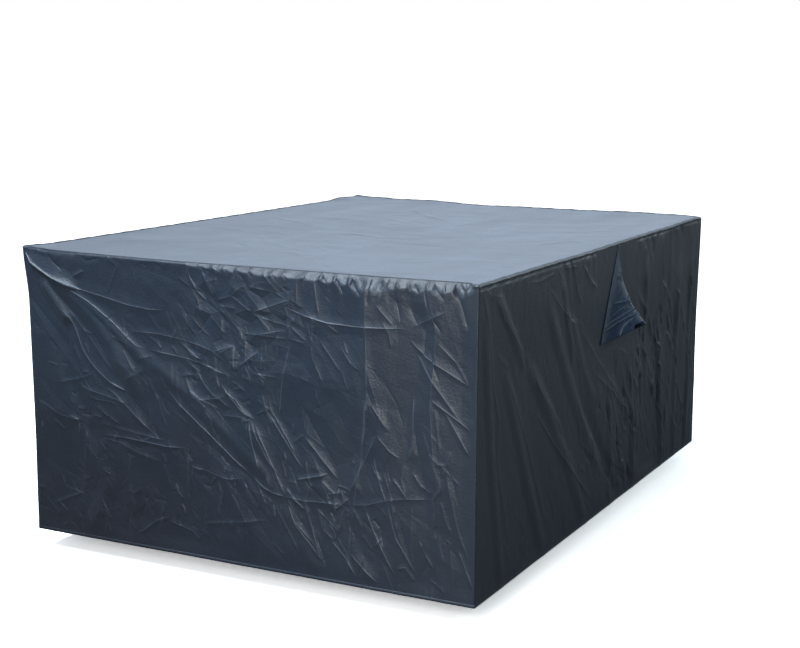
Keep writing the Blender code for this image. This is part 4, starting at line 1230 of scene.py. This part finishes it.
TOP_CREASES = (
    (2.2, 30, 24, 115, 1170, 229, 1104, 330, 1067),
    (1.6, 30, 24, 251, 1326, 239, 1428, 247, 1470),
    (1.4, 30, 24, 166, 1496, 189, 1627),
    (2.4, 30, 24, 468, 1390, 595, 1297, 703, 1233),
    (1.6, 30, 24, 563, 1244, 641, 1195),
    (2.6, 30, 24, 396, 1718, 569, 1524, 749, 1392),
    (2, 30, 24, 473, 1650, 670, 1445),
    (-1.8, 30, 24, 897, 1076, 827, 1277, 848, 1387),
    (1.6, 30, 24, 989, 1221, 996, 1349),
    (1.6, 30, 24, 968, 1300, 980, 1402),
    (2.2, 30, 24, 544, 861, 641, 891, 744, 858, 824, 890),
    (1.8, 30, 24, 584, 915, 685, 889),
    (1.6, 30, 24, 688, 808, 773, 804),
    (1.8, 30, 24, 1136, 1251, 1245, 1287, 1379, 1398),
    (2, 30, 24, 1273, 894, 1351, 1018, 1411, 1028),
    (-2.4, 30, 24, 425, 489, 527, 399),
    (1.4, 30, 24, 380, 705, 493, 556),
    (1.4, 30, 24, 547, 536, 645, 446),
    (1.6, 30, 24, 674, 562, 784, 457),
    (1.6, 30, 24, 921, 206, 984, 121),
    (1.6, 30, 24, 864, 1497, 806, 1745),
    (1.4, 30, 24, 1219, 992, 1271, 1023),
    (1.4, 30, 24, 1214, 1097, 1276, 1107),
    (1.6, 30, 24, 1059, 328, 1206, 393),
    (1.4, 30, 24, 1396, 362, 1439, 394),
    (1.4, 30, 24, 699, 382, 789, 299),
)

TOP_CRUMPLES = (
    (0.75, 1.00, 1.60, 2.00, 0.160, 1.6, 20, 0.0014),
    (0.75, 1.10, 0.70, 0.80, 0.070, 1.6, 160, 0.0009),
    (0.75, 1.00, 1.60, 2.00, 0.040, 2.0, 10, 0.0003),
)


def top_rise(x, y):
    """The dents of the top, which fade at its edges."""
    inside = smooth((1 - (2 * x / WIDTH) ** 2) / 0.3) * smooth((1 - (2 * y / DEPTH) ** 2) / 0.3)
    rise = np.zeros(x.shape)
    for x_at, y_at, reach_x, reach_y, high in TOP_DENTS:
        rise += high * np.exp(-(((x - x_at) / reach_x) ** 2) - ((y - y_at) / reach_y) ** 2)
    return rise * inside


x_line, y_line = np.linspace(0, WIDTH, 300), np.linspace(0, DEPTH, 300)
x, y = np.meshgrid(x_line - WIDTH / 2, y_line - DEPTH / 2)
to_edge = np.minimum(WIDTH / 2 - np.abs(x), DEPTH / 2 - np.abs(y))
crumpled, edges = crumple_rise(x_line, y_line, TOP_CRUMPLES, 90)
creased, fields = crease_rise(x_line, y_line, [*TOP_CREASES, *edges])
level = top_level(x, y) + top_rise(x, y) + (crumpled + creased) * smooth(to_edge / 0.05)
level = level - TOP_TURN * smooth(1.0 - to_edge / 0.01)
# Its edge stands in from the walls by their roll, and its corners go with the corner seams.
wider_roll = (FRONT_ROLL - SIDE_ROLL) * roll_share(x + WIDTH / 2, WIDTH)
x_shown = x * (1 - 2 * (SIDE_ROLL - TOP_LAP) / WIDTH)
y_shown = y * (1 - 2 * (SIDE_ROLL - TOP_LAP) / DEPTH) + wider_roll * smooth((-y - DEPTH / 2 + 0.10) / 0.10)
u, v = (x / WIDTH + 0.5)[..., None], (y / DEPTH + 0.5)[..., None]
pulled = sum(
    share * corner_offset(number, np.zeros(1))[0]
    for number, share in enumerate(((1 - u) * (1 - v), u * (1 - v), u * v, (1 - u) * v))
)
top_cloth = coated_cloth("top_cloth", TOP_LIT_COLOUR, crinkle=0.35)
top = add_sheet(
    "top",
    np.concatenate([np.stack([x_shown, y_shown], axis=-1) + pulled, level[..., None]], axis=-1)[::-1],
    np.stack([x + WIDTH / 2, y + DEPTH / 2], axis=-1)[::-1],
    top_cloth,
    fields={name: values[::-1] for name, values in fields.items()},
)
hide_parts("top_panel")
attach(top, "root")


# The seam round the top: the top and the walls are joined in a flat raised seam with two rows of stitches.
# On the front it lies on the top, where the wall rolls over, and on the other sides along the edge.
SEAM_WIDTH = 0.009
SEAM_HEIGHT = 0.0010
SEAM_SUNK = 0.0003  # its edges lie this far in the cloth
SEAM_TILT, TOP_TILT = math.radians(42), math.radians(46)  # its turn off the wall, and the rest on the front
SEAM_STEP = 0.008  # from column to column along it
STITCHES_OFF = 0.0025  # from its middle to each row of stitches
STITCH_SINK = 0.0005  # how far the stitches pull the seam in
STITCH_LINE = 0.55  # where, as a share of its half-width
FLAT_MIDDLE = 0.02  # depth of its middle in the flat places
FLAT_APART = 3.0  # from one side's flat places to the next side's


def seam_strip(number, length, columns, front_roll):
    """One side of the seam, as points (rows, columns, 3) across and along it."""
    s_line = wall_lines(length, columns, 3, SIDE_ROLL)[0]
    on_top = off_corners(s_line, length) * (front_roll > SIDE_ROLL)
    roll = SIDE_ROLL + (front_roll - SIDE_ROLL) * roll_share(s_line, length)
    turn = SEAM_TILT + on_top * TOP_TILT
    place, normal = edge_line(number, s_line, length)
    level = top_level(place[:, 0], place[:, 1])
    pulled = corner_offset(number, np.zeros(1)) * (1 - s_line / length)[:, None]
    pulled = pulled + corner_offset(number + 1, np.zeros(1)) * (s_line / length)[:, None]
    wobble = 0.0006 * np.sin(s_line * 61 + 2.0 * number) + 0.0005 * np.sin(s_line * 137 + number)
    rows, flats = [], []
    for share in np.linspace(-1.0, 1.0, 13):
        sink = STITCH_SINK * math.exp(-(((abs(share) - STITCH_LINE) / 0.12) ** 2))
        lift = SEAM_HEIGHT * (1.0 - abs(share) ** 6) - sink - SEAM_SUNK
        across = share * SEAM_WIDTH / 2 + wobble
        outward = np.sin(turn) * (across - on_top * SEAM_WIDTH / 2) + np.cos(turn) * lift
        outward = outward - roll * (1 - np.cos(turn))
        down = roll * (1 - np.sin(turn)) + np.cos(turn) * across - np.sin(turn) * lift
        plan = place + outward[:, None] * normal + pulled
        rows.append(np.column_stack([plan, level - down]))
        flats.append(np.column_stack([s_line, 0 * s_line + share * SEAM_WIDTH / 2 + FLAT_MIDDLE]))
    return np.array(rows), np.array(flats)


strips = [
    seam_strip(number, length, round(length / SEAM_STEP), SIDE_ROLL if number else FRONT_ROLL)
    for number, length in enumerate((WIDTH, DEPTH, WIDTH, DEPTH))
]
points = np.concatenate([strip[0] for strip in strips], axis=1)
flat = np.concatenate([strip[1] + (FLAT_APART * number, 0) for number, strip in enumerate(strips)], axis=1)
# The seam closes on itself: its last points are its first.
points, flat = (np.concatenate([grid, grid[:, :1]], axis=1) for grid in (points, flat))
stitch_rows = (FLAT_MIDDLE - STITCHES_OFF, FLAT_MIDDLE + STITCHES_OFF)
seam_cloth = coated_cloth("seam_cloth", TOP_LIT_COLOUR, stitched=stitch_rows, crinkle=0.2)
seam = add_sheet("top_seam", points, flat, seam_cloth)
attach(seam, "root")


# The vent's hood: a triangle of the same cloth sewn over the window along both slanting sides. It stands off
# the wall at its open mouth, which has a narrow hem, and a few creases cross its lower third.
HOOD_TIP_WIDTH = 0.022
HOOD_TIP = -0.10  # the strip above the triangle, as a share of its length
HOOD_TIP_END = 0.010  # the least width of that strip
HOOD_BULGE = 0.09
HOOD_SKEW = 1.45
HOOD_RISE = 0.050  # how far the middle of the mouth's edge is drawn up
HOOD_SEAM = 0.07  # the share of its width that is sewn flat at each side
HOOD_HEM = 0.030
HOOD_HEM_RISE = 0.0008
HOOD_GROOVE, HOOD_GROOVE_HALF = 0.0006, 0.0015  # along the hem's stitches
HOOD_TUCK = 0.026  # how far the middle of the mouth's edge is turned in
TUCK_MIDDLE, TUCK_HALF = 0.53, 0.068  # shares of the mouth's width
TUCK_LENGTH = 0.016
HOOD_PINCH = 2.2
HOOD_OFF_WALL = 0.0018
HOOD_THICKNESS = 0.0012
# The hood's cloth is painted lighter and bluer than the walls', for the light it catches as it faces up.
HOOD_LIT_COLOUR = (0.011, 0.034, 0.080)
# Most of the painted warm light is taken off the hood.
HOOD_PAINTED_LIGHT = -0.6
# The painted highlight along the hood's creases.
HOOD_CREASE_HIGHLIGHT = (0.10, 0.16, 0.23)

HOOD_CREASES = (
    (7, 14, 12, -106, 232, -80, 222, -30, 210, 20, 206, 58, 210),
    (6, 12, 12, -103, 242, -60, 232, -18, 225, 58, 227),
    (8, 12, 12, -56, 280, -50, 264, -39, 251, -22, 243, -6, 240),
    (7, 12, 12, 20, 237, 44, 233, 68, 232, 101, 237),
    (4, 14, 14, -57, 157, -20, 166, 9, 168, 34, 137),
    (3.5, 12, 12, 9, 168, 16, 200),
    (4, 10, 10, -16, 84, 4, 76, 16, 62),
    (4, 10, 10, 2, 96, 14, 78, 10, 60),
    (3, 12, 12, -66, 204, -40, 190, -12, 186),
)

HOOD_CRUMPLES = (
    (0.00, 0.20, 0.30, 0.30, 0.050, 1.6, -35, 0.0022),
    (0.00, 0.26, 0.20, 0.12, 0.026, 1.8, -35, 0.0014),
)


def hood_points(columns=96, rows=72):
    """The hood on a grid across and down: a bulge that grows towards the mouth as a skewed half wave. Its
    creases are worked out on an even grid over its flat places, and read off at each of its points."""
    across, run = np.meshgrid(np.linspace(0, 1, columns), np.linspace(HOOD_TIP, 1, rows))
    half = np.maximum(HOOD_TIP_WIDTH + run * (HOOD_WIDTH - HOOD_TIP_WIDTH), HOOD_TIP_END) / 2
    lifted = np.clip((across - HOOD_SEAM) / (1 - 2 * HOOD_SEAM), 0, 1)
    arch = np.sin(math.pi * lifted**HOOD_SKEW) ** 1.15
    s = (2 * across - 1) * half
    down = np.maximum(run, 0.0)
    depth = HOOD_TOP + HOOD_LENGTH * run - HOOD_RISE * arch * down**2
    from_mouth = HOOD_LENGTH * (1 - run)
    tucked = np.exp(-(((across - TUCK_MIDDLE) / TUCK_HALF) ** 4)) * smooth(1.0 - from_mouth / TUCK_LENGTH)
    s_even, d_even = np.linspace(-0.15, 0.15, 90), np.linspace(0.0, 0.34, 100)  # the even grid
    crumpled, edges = crumple_rise(s_even, d_even, HOOD_CRUMPLES, 120)
    creased, fields = crease_rise(s_even, d_even, [*HOOD_CREASES, *edges])
    column = np.clip((s - s_even[0]) / (s_even[-1] - s_even[0]) * 89, 0, 88.999)
    row = np.clip(HOOD_LENGTH * run / d_even[-1] * 99, 0, 98.999)
    i, j = row.astype(int), column.astype(int)
    a, b = row - i, column - j

    def there(field):
        """The value of an even field at each point of the hood, in proportion between its four neighbours."""
        upper = (1 - b) * field[i, j] + b * field[i, j + 1]
        return (1 - a) * upper + a * ((1 - b) * field[i + 1, j] + b * field[i + 1, j + 1])

    detail = there(crumpled + creased) * smooth(arch / 0.3)
    detail = detail + HOOD_HEM_RISE * smooth(1 - from_mouth / HOOD_HEM * 0.9)
    detail = detail - HOOD_GROOVE * np.exp(-(((from_mouth - HOOD_HEM) / HOOD_GROOVE_HALF) ** 2))
    fields = lines_at({name: there(values) for name, values in fields.items()}, HOOD_PINCH)
    # The hood takes off most of the painted warm light.
    fields["warmth"] = np.full(s.shape, HOOD_PAINTED_LIGHT)
    off_wall = HOOD_OFF_WALL + HOOD_BULGE * arch * down**1.8 - HOOD_TUCK * tucked + detail
    points = np.stack([WIDTH / 2 + off_wall, VENT_S - DEPTH / 2 + s, EDGE_Z - depth], axis=-1)
    return points, np.stack([s + 0.2, from_mouth], axis=-1), fields


hood_cloth = coated_cloth("hood_cloth", HOOD_LIT_COLOUR, (HOOD_HEM,), 0.62, 0.3, HOOD_CREASE_HIGHLIGHT)
points, flat, fields = hood_points()
hood = add_sheet("hood", points, flat, hood_cloth, fields=fields)
thickness = hood.modifiers.new("thickness", "SOLIDIFY")
thickness.thickness = HOOD_THICKNESS
thickness.offset = -1
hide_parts("vent_hood")
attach(hood, "root")
